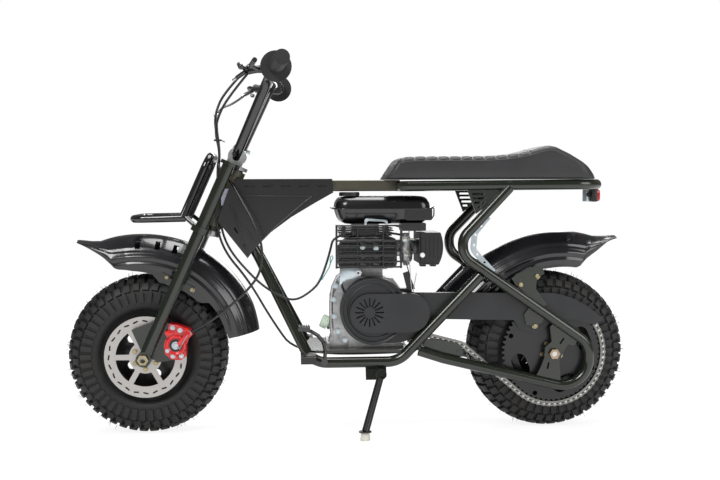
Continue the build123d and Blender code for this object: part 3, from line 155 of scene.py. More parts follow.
class Finish:
    """A material being made: its nodes, its shader and the patterns that most finishes share."""

    def __init__(self, name, **shader):
        self.material = bpy.data.materials.new(name)
        self.material.use_nodes = True
        self.tree = self.material.node_tree
        self.shader = self.tree.nodes["Principled BSDF"]
        for socket, value in shader.items():
            self.set(socket.replace("_", " ").title(), value)

    def set(self, socket, value):
        """Give a shader socket a number or colour, or link a wire to it."""
        if isinstance(value, Wire):
            self.tree.links.new(value.socket, self.shader.inputs[socket])
        elif isinstance(value, tuple):
            self.shader.inputs[socket].default_value = (*value, 1.0)
        else:
            self.shader.inputs[socket].default_value = value

    def node(self, kind, settings=None, values=None, out=0):
        """Add a node: its settings first, then a value or a wire for each named socket."""
        made = self.tree.nodes.new(kind)
        for key, value in (settings or {}).items():
            setattr(made, key, value)
        for key, value in (values or {}).items():
            if isinstance(value, Wire):
                self.tree.links.new(value.socket, made.inputs[key])
            else:
                made.inputs[key].default_value = value
        return Wire(self, made.outputs[out])

    def places(self):
        """Object coordinates, which stay with the piece when it moves."""
        return self.node("ShaderNodeTexCoord", out="Object")

    def noise(self, scale, detail=3.0):
        values = {"Vector": self.places(), "Scale": scale, "Detail": detail, "Roughness": 0.55}
        return self.node("ShaderNodeTexNoise", None, values)

    def blend(self, share, first, second):
        """Mix two colours by a wire."""
        values = {0: share, 6: (*first, 1.0), 7: (*second, 1.0)}
        return self.node("ShaderNodeMix", {"data_type": "RGBA"}, values, out=2)

    def bump(self, height, strength, distance):
        values = {"Height": height, "Strength": strength, "Distance": distance}
        self.set("Normal", self.node("ShaderNodeBump", None, values))


def scaled(colour, factor, added=0.0):
    return tuple(c * factor + added for c in colour)


def mottled(name, first, second, pattern, slope, rough, grain, **shader):
    """A finish in two tones, from which most others are made.

    A noise of (scale, detail) blends the first colour into the second over the slope (low, high),
    the roughness is that noise times a gain plus a base, and a finer noise is the bump:
    (scale, detail, strength, distance).
    """
    made = Finish(name, **shader)
    slow = made.noise(*pattern)
    made.set("Base Color", made.blend(slow.step(*slope), first, second))
    made.set("Roughness", slow * rough[0] + rough[1])
    made.bump(made.noise(*grain[:2]), *grain[2:])
    return made.material


# %% [markdown]
# ## Paint
# The frame is dipped in a very dark olive-green gloss, and the bar, rack and covers in black.
# Sprayed paint is never quite flat: a fine orange-peel ripple breaks up its highlights, and
# the colour drifts a little from place to place.

# %% Painted metal


def gloss_paint(name, colour, roughness, coat=0.5, peel=0.06):
    """A coated paint: two close tones by slow noise, and a fine ripple in the normal."""
    return mottled(
        name, scaled(colour, 0.82), colour, (9.0, 3.0), (0.35, 0.65), (0.08, roughness - 0.04),
        (420.0, 2.0, peel, 0.0002), coat_weight=coat, coat_roughness=0.08,
    )


# The material of each slot in the record
finish = {
    "frame_green": gloss_paint("dark olive frame paint", (0.011, 0.014, 0.008), 0.2, 0.4),
    "top_tube_olive": gloss_paint("olive top tube paint", (0.075, 0.068, 0.040), 0.3),
    "black_gloss": gloss_paint("black gloss paint", (0.005, 0.005, 0.0055), 0.14, 0.8),
    "engine_black": gloss_paint("black engine enamel", (0.0055, 0.0055, 0.006), 0.26, 0.6),
    "black_satin": gloss_paint("black satin paint", (0.0065, 0.0065, 0.007), 0.36, 0.25, 0.1),
    "caliper_red": gloss_paint("red caliper paint", (0.62, 0.006, 0.008), 0.28, 0.6, 0.1),
}
cover_paint = gloss_paint("black cover paint", (0.007, 0.007, 0.0078), 0.24, 0.35, 0.05)
print("paints made:", len(finish) + 1)

# %% [markdown]
# ## Plastics and rubber
# The fenders are glossy mouldings. The clutch cover is a dull charcoal with a spark-eroded
# grain. Rubber is dark and matte, a little browner where dust lies.

# %% Moulded plastic and rubber


def moulding(name, colour, roughness, grain_scale, grain, coat=0.0):
    """A moulded plastic: an even colour with slow drift, and a grain of the given size."""
    return mottled(
        name, colour, scaled(colour, 1.25, 0.002), (14.0, 2.0), (0.3, 0.7), (0.1, roughness - 0.05),
        (grain_scale, 2.0, grain, 0.0003), coat_weight=coat, coat_roughness=0.05,
    )


def tyre_rubber(name):
    """Tread rubber: near black, browner dust in slow patches and a fine matte grain."""
    rubber = Finish(name)
    dust = rubber.noise(22.0, 4.0).step(0.45, 0.75)
    fine = rubber.noise(1600.0, 2.0)
    rubber.set("Base Color", rubber.blend(dust, (0.010, 0.010, 0.0105), (0.020, 0.018, 0.016)))
    rubber.set("Roughness", dust * 0.2 + 0.55)
    rubber.bump(fine + rubber.noise(180.0, 3.0) * 0.6, 0.25, 0.0003)
    return rubber.material


finish |= {
    "fender_black": moulding("glossy black fender", (0.006, 0.006, 0.0075), 0.24, 260.0, 0.02, 0.5),
    "guard_charcoal": moulding("charcoal cover", (0.013, 0.0135, 0.015), 0.42, 1500.0, 0.25),
    "black_plastic": moulding("black plastic", (0.010, 0.010, 0.011), 0.4, 1200.0, 0.2),
    "grip_rubber": moulding("grip rubber", (0.011, 0.011, 0.011), 0.6, 900.0, 0.25),
    "pale_rubber": moulding("pale stand foot", (0.50, 0.48, 0.43), 0.7, 700.0, 0.25),
    "cap_green": moulding("pale green filler cap", (0.56, 0.66, 0.54), 0.45, 900.0, 0.1),
    "cable_black": moulding("cable sheath", (0.012, 0.012, 0.012), 0.38, 1100.0, 0.1),
    "lens_red": moulding("red lens", (0.33, 0.010, 0.012), 0.12, 500.0, 0.03, 0.6),
    "tyre_rubber": tyre_rubber("tyre rubber"),
}
white_plastic = moulding("white knob", (0.72, 0.72, 0.70), 0.4, 900.0, 0.1)
thread = moulding("seat thread", (0.05, 0.05, 0.052), 0.7, 1500.0, 0.3)
teal_wire = moulding("teal wire", (0.02, 0.30, 0.26), 0.4, 900.0, 0.1)
grey_plate = moulding("grey plate", (0.26, 0.27, 0.33), 0.4, 900.0, 0.05)
print("plastics and rubber made")

# %% [markdown]
# ## Bare and plated metal
# The crankcase is sand-cast aluminium with a coarse skin. Brackets and bolts are zinc plated,
# bluish and satin. The disc is ground, so its scratches run in circles round the axle, and the
# axle nuts have a yellow plating.

# %% Metals


def cast_metal(name, colour):
    """Cast metal: mottled by noise in colour, roughness and height."""
    return mottled(
        name, scaled(colour, 0.7), colour, (60.0, 5.0), (0.3, 0.7), (0.25, 0.36),
        (700.0, 4.0, 0.35, 0.0004), metallic=0.9,
    )


def plated_metal(name, colour, roughness):
    """Plated steel: bright, with slow patches where the plating is duller."""
    return mottled(
        name, scaled(colour, 0.8), colour, (35.0, 3.0), (0.35, 0.65), (0.2, roughness - 0.08),
        (900.0, 2.0, 0.08, 0.0002), metallic=1.0,
    )


def turned_metal(name, colour, x):
    """Ground steel: rings round an axle at x, by noise that varies with the radius alone."""
    metal = Finish(name, metallic=0.85)
    minus = {"Vector": metal.places(), "Location": tuple(-parked([x, 0.0, AXLE_Z]))}
    about = metal.node("ShaderNodeMapping", {"vector_type": "POINT"}, minus)
    across = metal.node("ShaderNodeSeparateXYZ", None, {0: about}, out="X")
    height = metal.node("ShaderNodeSeparateXYZ", None, {0: about}, out="Z")
    radius = (across * across + height * height) ** 0.5
    values = {"W": radius, "Scale": 2600.0}
    rings = metal.node("ShaderNodeTexNoise", {"noise_dimensions": "1D"}, values)
    metal.set("Base Color", metal.blend(rings.step(0.3, 0.7), scaled(colour, 0.85), colour))
    metal.set("Roughness", rings * 0.15 + metal.noise(30.0) * 0.1 + 0.24)
    metal.bump(rings, 0.12, 0.0002)
    return metal.material


finish |= {
    "engine_silver": cast_metal("cast aluminium", (0.62, 0.62, 0.62)),
    "zinc": plated_metal("zinc plate", (0.62, 0.70, 0.74), 0.3),
    "steel": plated_metal("bright steel", (0.72, 0.72, 0.72), 0.25),
    "chain_steel": plated_metal("chain steel", (0.29, 0.285, 0.27), 0.36),
    "brass_nut": plated_metal("yellow plated nut", (0.48, 0.41, 0.25), 0.32),
    "disc_steel": turned_metal("front disc steel", (0.52, 0.50, 0.48), FRONT_X),
}
copper_nut = plated_metal("copper plated nut", (0.50, 0.36, 0.25), 0.32)
rear_disc_steel = turned_metal("rear disc steel", (0.52, 0.50, 0.48), REAR_X)
print("metals made")

# %% [markdown]
# ## The seat's vinyl
# Coated cloth with a fine pebble grain: small cells pressed into the coating, slightly
# glossier on their tops.

# %% Vinyl


def pebbled_vinyl(name, colour):
    """Vinyl: Voronoi cells as pebbles, soft noise over them and a slow change of tone."""
    vinyl = Finish(name)
    cells = vinyl.node("ShaderNodeTexVoronoi", None, {"Vector": vinyl.places(), "Scale": 900.0})
    tone = vinyl.noise(12.0).step(0.3, 0.7)
    vinyl.set("Base Color", vinyl.blend(tone, colour, scaled(colour, 1.3)))
    vinyl.set("Roughness", cells * 0.2 + 0.38)
    vinyl.bump(cells, 0.25, 0.0003)
    return vinyl.material


finish["seat_vinyl"] = pebbled_vinyl("seat vinyl", (0.019, 0.019, 0.0205))
print("slots with a finish:", len(finish))

# %% [markdown]
# ## Dressing the solids
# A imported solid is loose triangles. Two modifiers make it look like the real surface without
# touching its mesh: Weld joins the triangles, and Edge Split, after smooth shading, keeps an
# edge sharp only where two faces meet at a clear angle.

# %% A finish for every node of the frame
SHARP_ANGLE = 32.0
WELD_REACH = 0.00002


def split_edges(piece, degrees):
    """Keep the edges sharp where two faces meet at more than this angle."""
    split = piece.modifiers.new("sharp edges", "EDGE_SPLIT")
    split.split_angle = math.radians(degrees)


def dress(node, material):
    """Give a solid its material and smooth shading with sharp edges."""
    piece = frame["nodes"][node]
    piece.data.materials.clear()
    piece.data.materials.append(material)
    piece.data.shade_smooth()
    weld = piece.modifiers.new("join triangles", "WELD")
    weld.merge_threshold = WELD_REACH
    split_edges(piece, SHARP_ANGLE)


own_finish = {"rear_disc": rear_disc_steel, "rear_nuts": copper_nut, "neck_cover": cover_paint}
for row in frame["record"]["subparts"]:
    dress(row["node"], own_finish.get(row["node"], finish[row["material_slot"]]))

# %% [markdown]
# ## Meshes from arrays
# A shape is a pair of points and faces, worked out by numpy. `skin` joins a grid of points into
# quads, and `join` and `repeat` put shapes together. `place` makes the object, parks it on the
# leaned bike, gives it the finish of its slot and lets it ride on its body.

# %% Grids, joins and pieces


def skin(grid, close_rows=False, close_columns=False, cap_ends=False):
    """Points and quads of a grid of shape rows x columns x 3; either way can be closed."""
    rows, columns = grid.shape[:2]
    index = np.arange(rows * columns).reshape(rows, columns)
    if close_rows:
        index = np.vstack([index, index[:1]])
    if close_columns:
        index = np.hstack([index, index[:, :1]])
    quads = np.stack([index[:-1, :-1], index[:-1, 1:], index[1:, 1:], index[1:, :-1]], -1)
    faces = [tuple(q) for q in quads.reshape(-1, 4).tolist()]
    if cap_ends:
        faces.append(tuple(index[0, :columns].tolist()))
        faces.append(tuple(index[-1, :columns][::-1].tolist()))
    return grid.reshape(-1, 3), faces


def join(shapes):
    """Several shapes as one."""
    points, faces, count = [], [], 0
    for shape_points, shape_faces in shapes:
        points.append(np.asarray(shape_points, float))
        faces += [tuple(i + count for i in face) for face in shape_faces]
        count += len(shape_points)
    return np.vstack(points), faces


def repeat(shape, places):
    """Copies of a shape: places is an array of n frames, each 3 axes and an origin (n x 4 x 3)."""
    points, faces = shape
    places = np.asarray(places, float)
    all_points = np.einsum("pk,nkc->npc", points, places[:, :3]) + places[:, None, 3]
    copies = [
        tuple(i + n * len(points) for i in face) for n in range(len(places)) for face in faces
    ]
    return all_points.reshape(-1, 3), copies


def place(name, shape, slot, body="frame", replaced=None, material=None):
    """Make the object in metres on the leaned bike, riding on its body."""
    points, faces = shape
    mesh = bpy.data.meshes.new(name)
    mesh.from_pydata(parked(points), [], faces)
    mesh.materials.append(material or finish[slot])
    mesh.shade_smooth()
    mesh.validate()
    piece = bpy.data.objects.new(name, mesh)
    bpy.context.scene.collection.objects.link(piece)
    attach(piece, body)
    if replaced:
        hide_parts(replaced)
    return piece


def outward(piece):
    """Merge doubles and turn every face outwards."""
    work = bmesh.new()
    work.from_mesh(piece.data)
    bmesh.ops.remove_doubles(work, verts=work.verts, dist=1e-6)
    bmesh.ops.recalc_face_normals(work, faces=work.faces)
    work.to_mesh(piece.data)
    work.free()
    return piece


PLAIN_SHARP = 38.0
ROUNDED_SHARP = 50.0


def solid(name, shapes, slot, body="frame", replaced=None, edge=0.0, material=None):
    """Place closed shapes with outward faces and, if wanted, edges rounded by some millimetres."""
    piece = outward(place(name, join(shapes), slot, body, replaced, material))
    if edge:
        bevel = piece.modifiers.new("rounded edges", "BEVEL")
        bevel.width = edge / 1000.0
        bevel.segments = 2
        bevel.limit_method = "ANGLE"
        bevel.angle_limit = math.radians(35.0)
    split_edges(piece, ROUNDED_SHARP if edge else PLAIN_SHARP)
    return piece


print("mesh helpers ready")

# %% [markdown]
# ## Small shapes used all over
# Tubes, turned pieces, hexagonal bolts and plates. Most come about their own origin, and a frame
# of three axes or a shift sets them on the bike.

# %% Tubes, turned pieces, bolts and plates
LEFT = (0, -1, 0)
RIGHT = (0, 1, 0)


def unit(vectors):
    """Each row of the array at length one."""
    return vectors / np.linalg.norm(vectors, axis=-1, keepdims=True)


def circles(first, second, sides):
    """Unit circles in the planes of the rows of two arrays of axes: n x sides x 3."""
    turn = np.arange(sides) * TURN / sides
    return np.cos(turn)[None, :, None] * first[:, None] + np.sin(turn)[None, :, None] * second[:, None]


def sweep(path, radius, sides=12):
    """A round tube: at each path point a circle square to the path, about a steady side axis."""
    path = np.asarray(path, float)
    tangent = unit(np.gradient(path, axis=0))
    steady = np.eye(3)[int(np.argmin(path.max(0) - path.min(0)))]
    side = unit(np.cross(tangent, steady))
    radius = np.broadcast_to(np.asarray(radius, float), (len(path),))[:, None, None]
    ring = circles(side, np.cross(side, tangent), sides)
    return skin(path[:, None] + radius * ring, close_columns=True, cap_ends=True)


def lathe(profile, sides):
    """Turn (radius, along) pairs about the third axis; the first and last pair may be at 0."""
    profile = np.asarray(profile, float)
    turn = np.arange(sides) * TURN / sides
    ring = np.stack([np.cos(turn), np.sin(turn), np.zeros(sides)], -1)
    grid = profile[:, None, :1] * ring[None] + profile[:, None, 1:] * np.array([0.0, 0.0, 1.0])
    return skin(grid, close_columns=True, cap_ends=True)


def washer(inner, outer, low, high, sides):
    """A flat ring, from low to high along the third axis."""
    return lathe([(inner, low), (outer, low), (outer, high), (inner, high), (inner, low)], sides)


def axes_along(direction):
    """Three axes, the third along the direction."""
    third = unit(np.asarray(direction, float))
    first = unit(np.cross([0.0, 1.0, 0.0] if abs(third[1]) < 0.9 else [0.0, 0.0, 1.0], third))
    return np.array([first, np.cross(third, first), third])


def put(shape, origin, direction=LEFT):
    """A shape moved to the origin with its own third axis along the direction."""
    return repeat(shape, [np.vstack([axes_along(direction), origin])])


def moved(shape, offset):
    return shape[0] + np.asarray(offset, float), shape[1]


def rod(start, stop, radius, sides=10):
    """A straight round rod between two points, with closed ends."""
    start, stop = np.asarray(start, float), np.asarray(stop, float)
    length = np.linalg.norm(stop - start)
    profile = [(0.0, 0), (radius, 0), (radius, length), (0.0, length)]
    return put(lathe(profile, sides), start, stop - start)


def hex_bolt(radius, height, washer=1.5):
    """A washer and a hexagon with a slightly domed top, standing on the plane of its axes."""
    ring = lathe([(0.0, -1.0), (radius * 1.35, -1.0), (radius * 1.35, washer), (0.0, washer)], 20)
    head = lathe([
        (0.0, washer - 0.4), (radius, washer - 0.4), (radius, washer + height - 0.8),
        (radius * 0.86, washer + height), (0.0, washer + height),
    ], 6)
    return join([ring, head])


def plate(outline, thickness, centre):
    """A flat plate: an outline of (x, z) pairs, half the thickness each way along y."""
    outline = np.asarray(outline, float)
    ring = np.stack([outline[:, 0], 0 * outline[:, 0], outline[:, 1]], -1)
    grid = np.stack([ring + [0, -thickness / 2, 0], ring + [0, thickness / 2, 0]])
    return moved(skin(grid, close_columns=True, cap_ends=True), centre)


def rounded_outline(half_x, half_z, radius, steps=6):
    """A rectangle about the origin with round corners."""
    turn = np.linspace(0, math.pi / 2, steps)
    corners = []
    for quarter, (sx, sz) in enumerate(((1, 1), (-1, 1), (-1, -1), (1, -1))):
        angle = turn + quarter * math.pi / 2
        corners.append(np.stack([
            sx * (half_x - radius) + radius * np.cos(angle),
            sz * (half_z - radius) + radius * np.sin(angle),
        ], -1))
    return np.concatenate(corners)


def pad(half_x, half_z, radius, thickness, centre):
    """A plate with round corners."""
    return plate(rounded_outline(half_x, half_z, radius), thickness, centre)


print("small shapes ready")

# %% [markdown]
# ## Tyres
# Small knobby tyres: a round carcass, a middle row of blocks, shoulder blocks that wrap over
# the edge, and the thin rubber whiskers that the mould's vents leave all over a new tyre. The
# blocks are patches of the tyre's own outer surface, lifted off the carcass, with walls down
# to it.

# %% Tyre profile
LUG_HEIGHT = 8.0
BEAD_RADIUS = 76.3
BEAD_HALF_WIDTH = 45.8
# The tyre's section with its blocks: a superellipse about the middle of the sidewall
SECTION_RADIUS = 128.0
SECTION_HALF_WIDTH = 69.0
SECTION_HALF_HEIGHT = 50.0
SECTION_POWER = 0.78
SECTION_ARC = math.radians(137.0)
SIDE_LIFT = 0.55


def tyre_profile(share, lift):
    """Half width and radius round the tyre, share -1 to 1 from bead to bead, lift above carcass."""
    angle = np.asarray(share, float) * SECTION_ARC
    across = np.sign(np.sin(angle)) * np.abs(np.sin(angle)) ** SECTION_POWER
    out = np.sign(np.cos(angle)) * np.abs(np.cos(angle)) ** SECTION_POWER
    half_width = (SECTION_HALF_WIDTH - LUG_HEIGHT * SIDE_LIFT + lift * SIDE_LIFT) * across
    return half_width, SECTION_RADIUS + (SECTION_HALF_HEIGHT - LUG_HEIGHT + lift) * out


def tyre_surface(x, angle, share, lift):
    """Points of the tyre at angles round the axle and shares across it."""
    half_width, radius = tyre_profile(share, lift)
    return np.stack([
        x + radius * np.cos(angle), half_width + 0.0 * angle, AXLE_Z + radius * np.sin(angle)
    ], -1)


CARCASS_TURNS = 160
CARCASS_ACROSS = 44
# Rows of blocks: share across where a block starts and ends, its share of the pitch, its shift
LUG_ROWS = (
    (-0.10, 0.10, 0.62, 0.0), (0.16, 0.33, 0.66, 0.5), (0.38, 0.52, 0.64, 0.0), (0.56, 0.70, 0.60, 0.5),
)
LUG_PITCHES = 46
LUG_GRID = (4, 5)
FOOT_LIFT = -2.0
FOOT_SPREAD = 1.12


def tread_row(x, start, stop, length, shift):
    """A row of blocks: each is a lifted patch whose rim drops to the carcass."""
    rows, columns = LUG_GRID
    along = np.pad(np.linspace(-0.5, 0.5, rows) * length, 1, "edge")
    across = np.pad(np.linspace(start, stop, columns), 1, "edge")
    lift = np.pad(np.full(LUG_GRID, LUG_HEIGHT), 1, constant_values=FOOT_LIFT)
    pitch = TURN / LUG_PITCHES
    centres = (np.arange(LUG_PITCHES) + shift) * pitch
    taper = np.where(lift < 0, FOOT_SPREAD, 1.0)
    middle = (start + stop) / 2.0
    angle = centres[:, None, None] + (along[:, None] * taper)[None] * pitch
    share = middle + (across - middle)[None, :] * taper
    return join([skin(patch) for patch in tyre_surface(x, angle, share, lift)])


def make_tyre(name, x, body, node):
    turns = np.arange(CARCASS_TURNS) * TURN / CARCASS_TURNS
    share = np.linspace(-0.955, 0.955, CARCASS_ACROSS)
    grid = tyre_surface(x, turns[:, None], share, 0.0)
    beads = []
    for edge in (grid[:, 0], grid[:, -1]):
        out = unit((edge - [x, 0, AXLE_Z]) * [1, 0, 1])
        level = np.clip(edge[:, 1:2], -BEAD_HALF_WIDTH, BEAD_HALF_WIDTH)
        beads.append(([x, 0, AXLE_Z] + BEAD_RADIUS * out + level * [0, 1, 0])[:, None])
    grid = np.concatenate([beads[0], grid, beads[1]], 1)
    shapes = [skin(grid, close_rows=True, close_columns=True)]
    for start, stop, length, shift in LUG_ROWS:
        shapes.append(tread_row(x, start, stop, length, shift))
        if start > 0:
            shapes.append(tread_row(x, -stop, -start, length, shift + 0.5))
    tyre = outward(place(name, join(shapes), "tyre_rubber", body, node))
    split_edges(tyre, PLAIN_SHARP)
    return tyre


front_tyre = make_tyre("front_tread", FRONT_X, "front_wheel", "front_tyre")
make_tyre("rear_tread", REAR_X, "rear_wheel", "rear_tyre")
print("tyre faces:", len(front_tyre.data.polygons))

# %% Whiskers
WHISKER_COUNT = 260
WHISKER_LENGTH = (6.0, 11.0)
WHISKER_RADIUS = 0.55
WHISKER_REACH = 0.62
WHISKER_LEAN = 0.16
BARE_ARC = math.radians(20.0)


def make_whiskers(name, x, body, seed):
    """Thin three-sided spikes that stand on the blocks, leaning a little, none at the floor."""
    draw = np.random.default_rng(seed)
    angle = draw.uniform(0, TURN, WHISKER_COUNT)
    from_floor = np.abs((angle + math.pi / 2 + math.pi) % TURN - math.pi)
    angle = angle[from_floor > BARE_ARC]
    share = draw.uniform(-WHISKER_REACH, WHISKER_REACH, len(angle))
    foot = tyre_surface(x, angle, share, LUG_HEIGHT - 1.0)
    head = tyre_surface(x, angle, share, LUG_HEIGHT + 8.0)
    out = unit(head - foot)
    out = unit(out + draw.normal(0, WHISKER_LEAN, out.shape))
    length = draw.uniform(*WHISKER_LENGTH, len(angle))
    side = unit(np.cross(out, [0.3, 1.0, 0.2]))
    ring = circles(side, np.cross(out, side), 3)
    low = foot[:, None] + WHISKER_RADIUS * ring
    high = (foot + out * length[:, None])[:, None] + WHISKER_RADIUS * 0.5 * ring
    points = np.concatenate([low, high], 1).reshape(-1, 3)
    one = [(0, 2, 1), (3, 4, 5), (0, 1, 4, 3), (1, 2, 5, 4), (2, 0, 3, 5)]
    faces = [tuple(i + 6 * n for i in face) for n in range(len(angle)) for face in one]
    place(name, (points, faces), "tyre_rubber", body)


make_whiskers("front_whiskers", FRONT_X, "front_wheel", 3)
make_whiskers("rear_whiskers", REAR_X, "rear_wheel", 5)
print("whiskers made")

# %% [markdown]
# ## The seat
# Foam under vinyl. The top is sewn into cross pleats, each a low roll between two stitched
# dips, and the pleats end in a soft edge above plain side panels. Towards the rear the seat
# climbs to a hip and slopes down to a rounded tail.

# %% Seat
SEAT_LOW = 567.0
SEAT_HALF_WIDTH = 97.0
# x of the foot and of the top, at the front and at the rear
SEAT_FRONT = (80.0, 103.0)
SEAT_REAR = (551.0, 538.0)
# Height of the top along its length
SEAT_TOP_X = (103, 106, 112, 122, 150, 300, 345, 380, 405, 425, 444, 458, 490, 520, 532, 538)
SEAT_TOP_Z = (603, 608, 613, 616.5, 618, 618.5, 621, 626, 632, 638, 641.5, 639, 623.5, 605.5, 597, 590)
SEAT_STATIONS = 230
PLEAT_START = 118.5
PLEAT_PITCH = 25.6
PLEAT_COUNT = 11
PLEAT_DEPTH = 4.6
EDGE_ROUND = 13.0
SIDE_INSET = 1.0
SIDE_BULGE = 1.6
CROWN_RISE = 1.6
FRONT_CORNER = 20.0
REAR_CORNER = 36.0
# Share of the end ring's size and how far out it stands, from the middle of an end outwards
END_RINGS = ((0.5, 1.4), (0.85, 1.1), (0.97, 0.5))


def seat_half_width(x):
    """Half width at x: a quarter circle at each end, SEAT_HALF_WIDTH between them."""
    loss = 0.0
    for from_end, corner in ((x - SEAT_FRONT[0], FRONT_CORNER), (SEAT_REAR[0] - x, REAR_CORNER)):
        share = np.clip(from_end / corner, 0.02, 1.0)
        loss = loss + corner * (1 - np.sqrt(1 - (1 - share) ** 2))
    return SEAT_HALF_WIDTH - loss


def pleat_drop(x):
    """How far the top dips at x: zero on the middle of a pleat, PLEAT_DEPTH at its stitches."""
    place_in = (x - PLEAT_START) / PLEAT_PITCH
    inside = (place_in > -0.02) & (place_in < PLEAT_COUNT + 0.02)
    from_middle = np.abs(2.0 * (place_in % 1.0) - 1.0)
    return np.where(inside, PLEAT_DEPTH * from_middle**3.2, 0.0)


def sloped(height, low_x, top_x, top_z):
    """x at a height on the straight line from a station's foot to its top."""
    return low_x + (height - SEAT_LOW) / (top_z - SEAT_LOW) * (top_x - low_x)


def half_section(half, top_z, drop):
    """(y, z) pairs of the right half: bottom, bulging side, round edge and the crown's half."""
    rounding = min(EDGE_ROUND, 0.35 * (top_z - SEAT_LOW))
    side_top = top_z - rounding
    edge = half - SIDE_INSET - rounding
    pairs = [
        (0.0, SEAT_LOW), (half - 20, SEAT_LOW), (half - 7, SEAT_LOW + 0.6), (half - 2.2, SEAT_LOW + 3.5),
    ]
    for t in np.linspace(0, 1, 8):
        bulge = SIDE_BULGE * math.sin(math.pi * min(1.0, t * 1.1))
        pairs.append((half - SIDE_INSET + bulge, SEAT_LOW + 8 + t * (side_top - SEAT_LOW - 8)))
    for t in np.linspace(0, math.pi / 2, 9)[1:]:
        out = rounding - drop * min(1.0, 1.7 * math.sin(t) ** 2)
        pairs.append((edge + out * math.cos(t), side_top + out * math.sin(t)))
    for t in (0.78, 0.5, 0.25, 0.0):
        pairs.append((edge * t, top_z - drop + CROWN_RISE * (1 - t * t)))
    return pairs


def seat_grid():
    """Stations from front to rear, each a closed loop, with rings that round off both ends."""
    share = np.linspace(0, 1, SEAT_STATIONS)
    low_x = SEAT_FRONT[0] + share * (SEAT_REAR[0] - SEAT_FRONT[0])
    top_x = SEAT_FRONT[1] + share * (SEAT_REAR[1] - SEAT_FRONT[1])
    top_z = np.interp(top_x, SEAT_TOP_X, SEAT_TOP_Z)
    loops = []
    for line in zip(low_x, top_x, top_z, pleat_drop(top_x)):
        half = float(seat_half_width(np.array(sloped(SEAT_LOW + 12.0, *line[:3]))))
        right = half_section(half, *line[2:])
        left = [(-y, z) for y, z in reversed(right[1:-1])]
        loops.append([(sloped(z, *line[:3]), y, z) for y, z in right + left])
    ends = []
    for ring, step_out in ((np.array(loops[0]), -1.0), (np.array(loops[-1]), 1.0)):
        middle = ring.mean(0)
        ends.append([
            middle + (ring - middle) * size + np.array([step_out * out, 0, 0]) for size, out in END_RINGS
        ])
    return np.concatenate([ends[0], loops, ends[1][::-1]])


seat_shape = skin(seat_grid(), close_columns=True, cap_ends=True)
seat_pad = outward(place("seat_pad", seat_shape, "seat_vinyl", replaced="seat"))

# A stitched seam along both sides, below the top: a thin cord that follows the panel
SEAM_DROP = 10.5
SEAM_RADIUS = 0.9
seam_x = np.linspace(112, 520, 120)
seam_y = seat_half_width(seam_x) - SEAM_RADIUS
seam_z = np.interp(seam_x, SEAT_TOP_X, SEAT_TOP_Z) - SEAM_DROP
seams = [sweep(np.stack([seam_x, side * seam_y, seam_z], -1), SEAM_RADIUS, 6) for side in (-1, 1)]
place("seat_edge_seam", join(seams), "seat_vinyl", material=thread)
print("seat faces:", len(seat_pad.data.polygons))

# %% [markdown]
# ## Fenders
# Glossy black mouldings with an almost half-round section: a raised middle band, a crease
# under it, and two corrugations along each side. The front one has three pairs of slots across
# the band, and both end in a beak that narrows to its tip.

# %% Fender section
FENDER_WALL = 2.6
ARCH_SHARE = 0.62
# Corrugations on the sides: drop below the crown, height and half width
FENDER_RIBS = ((46.0, 3.0, 4.6), (62.0, 3.0, 4.6))
BAND_HALF_ANGLE = math.radians(30.0)
BAND_RISE = 2.4
CREASE_ANGLE = math.radians(64.0)
CREASE_DEPTH = 1.6
SLOT_ANGLES = (math.radians(36.0), math.radians(60.0))


def section_shares():
    """Places across half a fender, from the crown (0) to the lower edge (1)."""
    arch = np.linspace(0, 90, 31) * ARCH_SHARE / 90
    marks = [math.degrees(a) * ARCH_SHARE / 90 for a in SLOT_ANGLES]
    skirt = np.linspace(ARCH_SHARE, 1, 22)
    return np.unique(np.concatenate([arch, marks, skirt]).round(6))


def fender_half(half_width, depth):
    """Across and drop of the outer skin for all shares, and the unit normals."""
    share = section_shares()
    height = min(54.0, 0.74 * depth)
    angle = np.minimum(share / ARCH_SHARE, 1.0) * math.pi / 2
    down = np.clip((share - ARCH_SHARE) / (1 - ARCH_SHARE), 0, 1)
    across = half_width * np.sin(angle)
    drop = height * (1 - np.cos(angle)) + down * (depth - height)
    normal = unit(np.stack([np.sin(angle) / half_width * height, np.cos(angle)], -1))
    band = 1.0 / (1.0 + np.exp((angle - BAND_HALF_ANGLE) * 16.0))
    crease = np.exp(-(((angle - CREASE_ANGLE) / 0.05) ** 2)) * (down <= 0)
    swell = BAND_RISE * band - CREASE_DEPTH * crease
    for place_down, tall, wide in FENDER_RIBS:
        swell += tall * np.exp(-(((drop - place_down) / wide) ** 2)) * np.clip(depth / 80, 0, 1)
    return across + swell * normal[:, 0], drop - swell * normal[:, 1], normal


def fender_skins(axle_x, outward_x, stations):
    """The outer and inner skin, each stations x places across x 3."""
    outer, inner = [], []
    first = stations[stations[:, 0] >= 0][0]
    for angle, crown, edge, half in stations:
        turn = math.radians(max(angle, first[0]))
        out = np.array([-outward_x * math.cos(turn), 0, math.sin(turn)])
        along = np.array([outward_x * math.sin(turn), 0, math.cos(turn)])
        base = np.array([axle_x, 0, AXLE_Z]) + out * crown + along * min(angle, 0.0)
        across, drop, normal = fender_half(half, crown - edge)
        across = np.concatenate([-across[:0:-1], across])
        drop = np.concatenate([drop[:0:-1], drop])
        normal = np.concatenate([normal[:0:-1] * [-1, 1], normal])
        sheet = base + across[:, None] * np.array([0, 1.0, 0]) - drop[:, None] * out
        outer.append(sheet)
        inner.append(sheet - FENDER_WALL * (normal[:, :1] * np.array([0, 1.0, 0]) + normal[:, 1:] * out))
    return np.array(outer), np.array(inner)


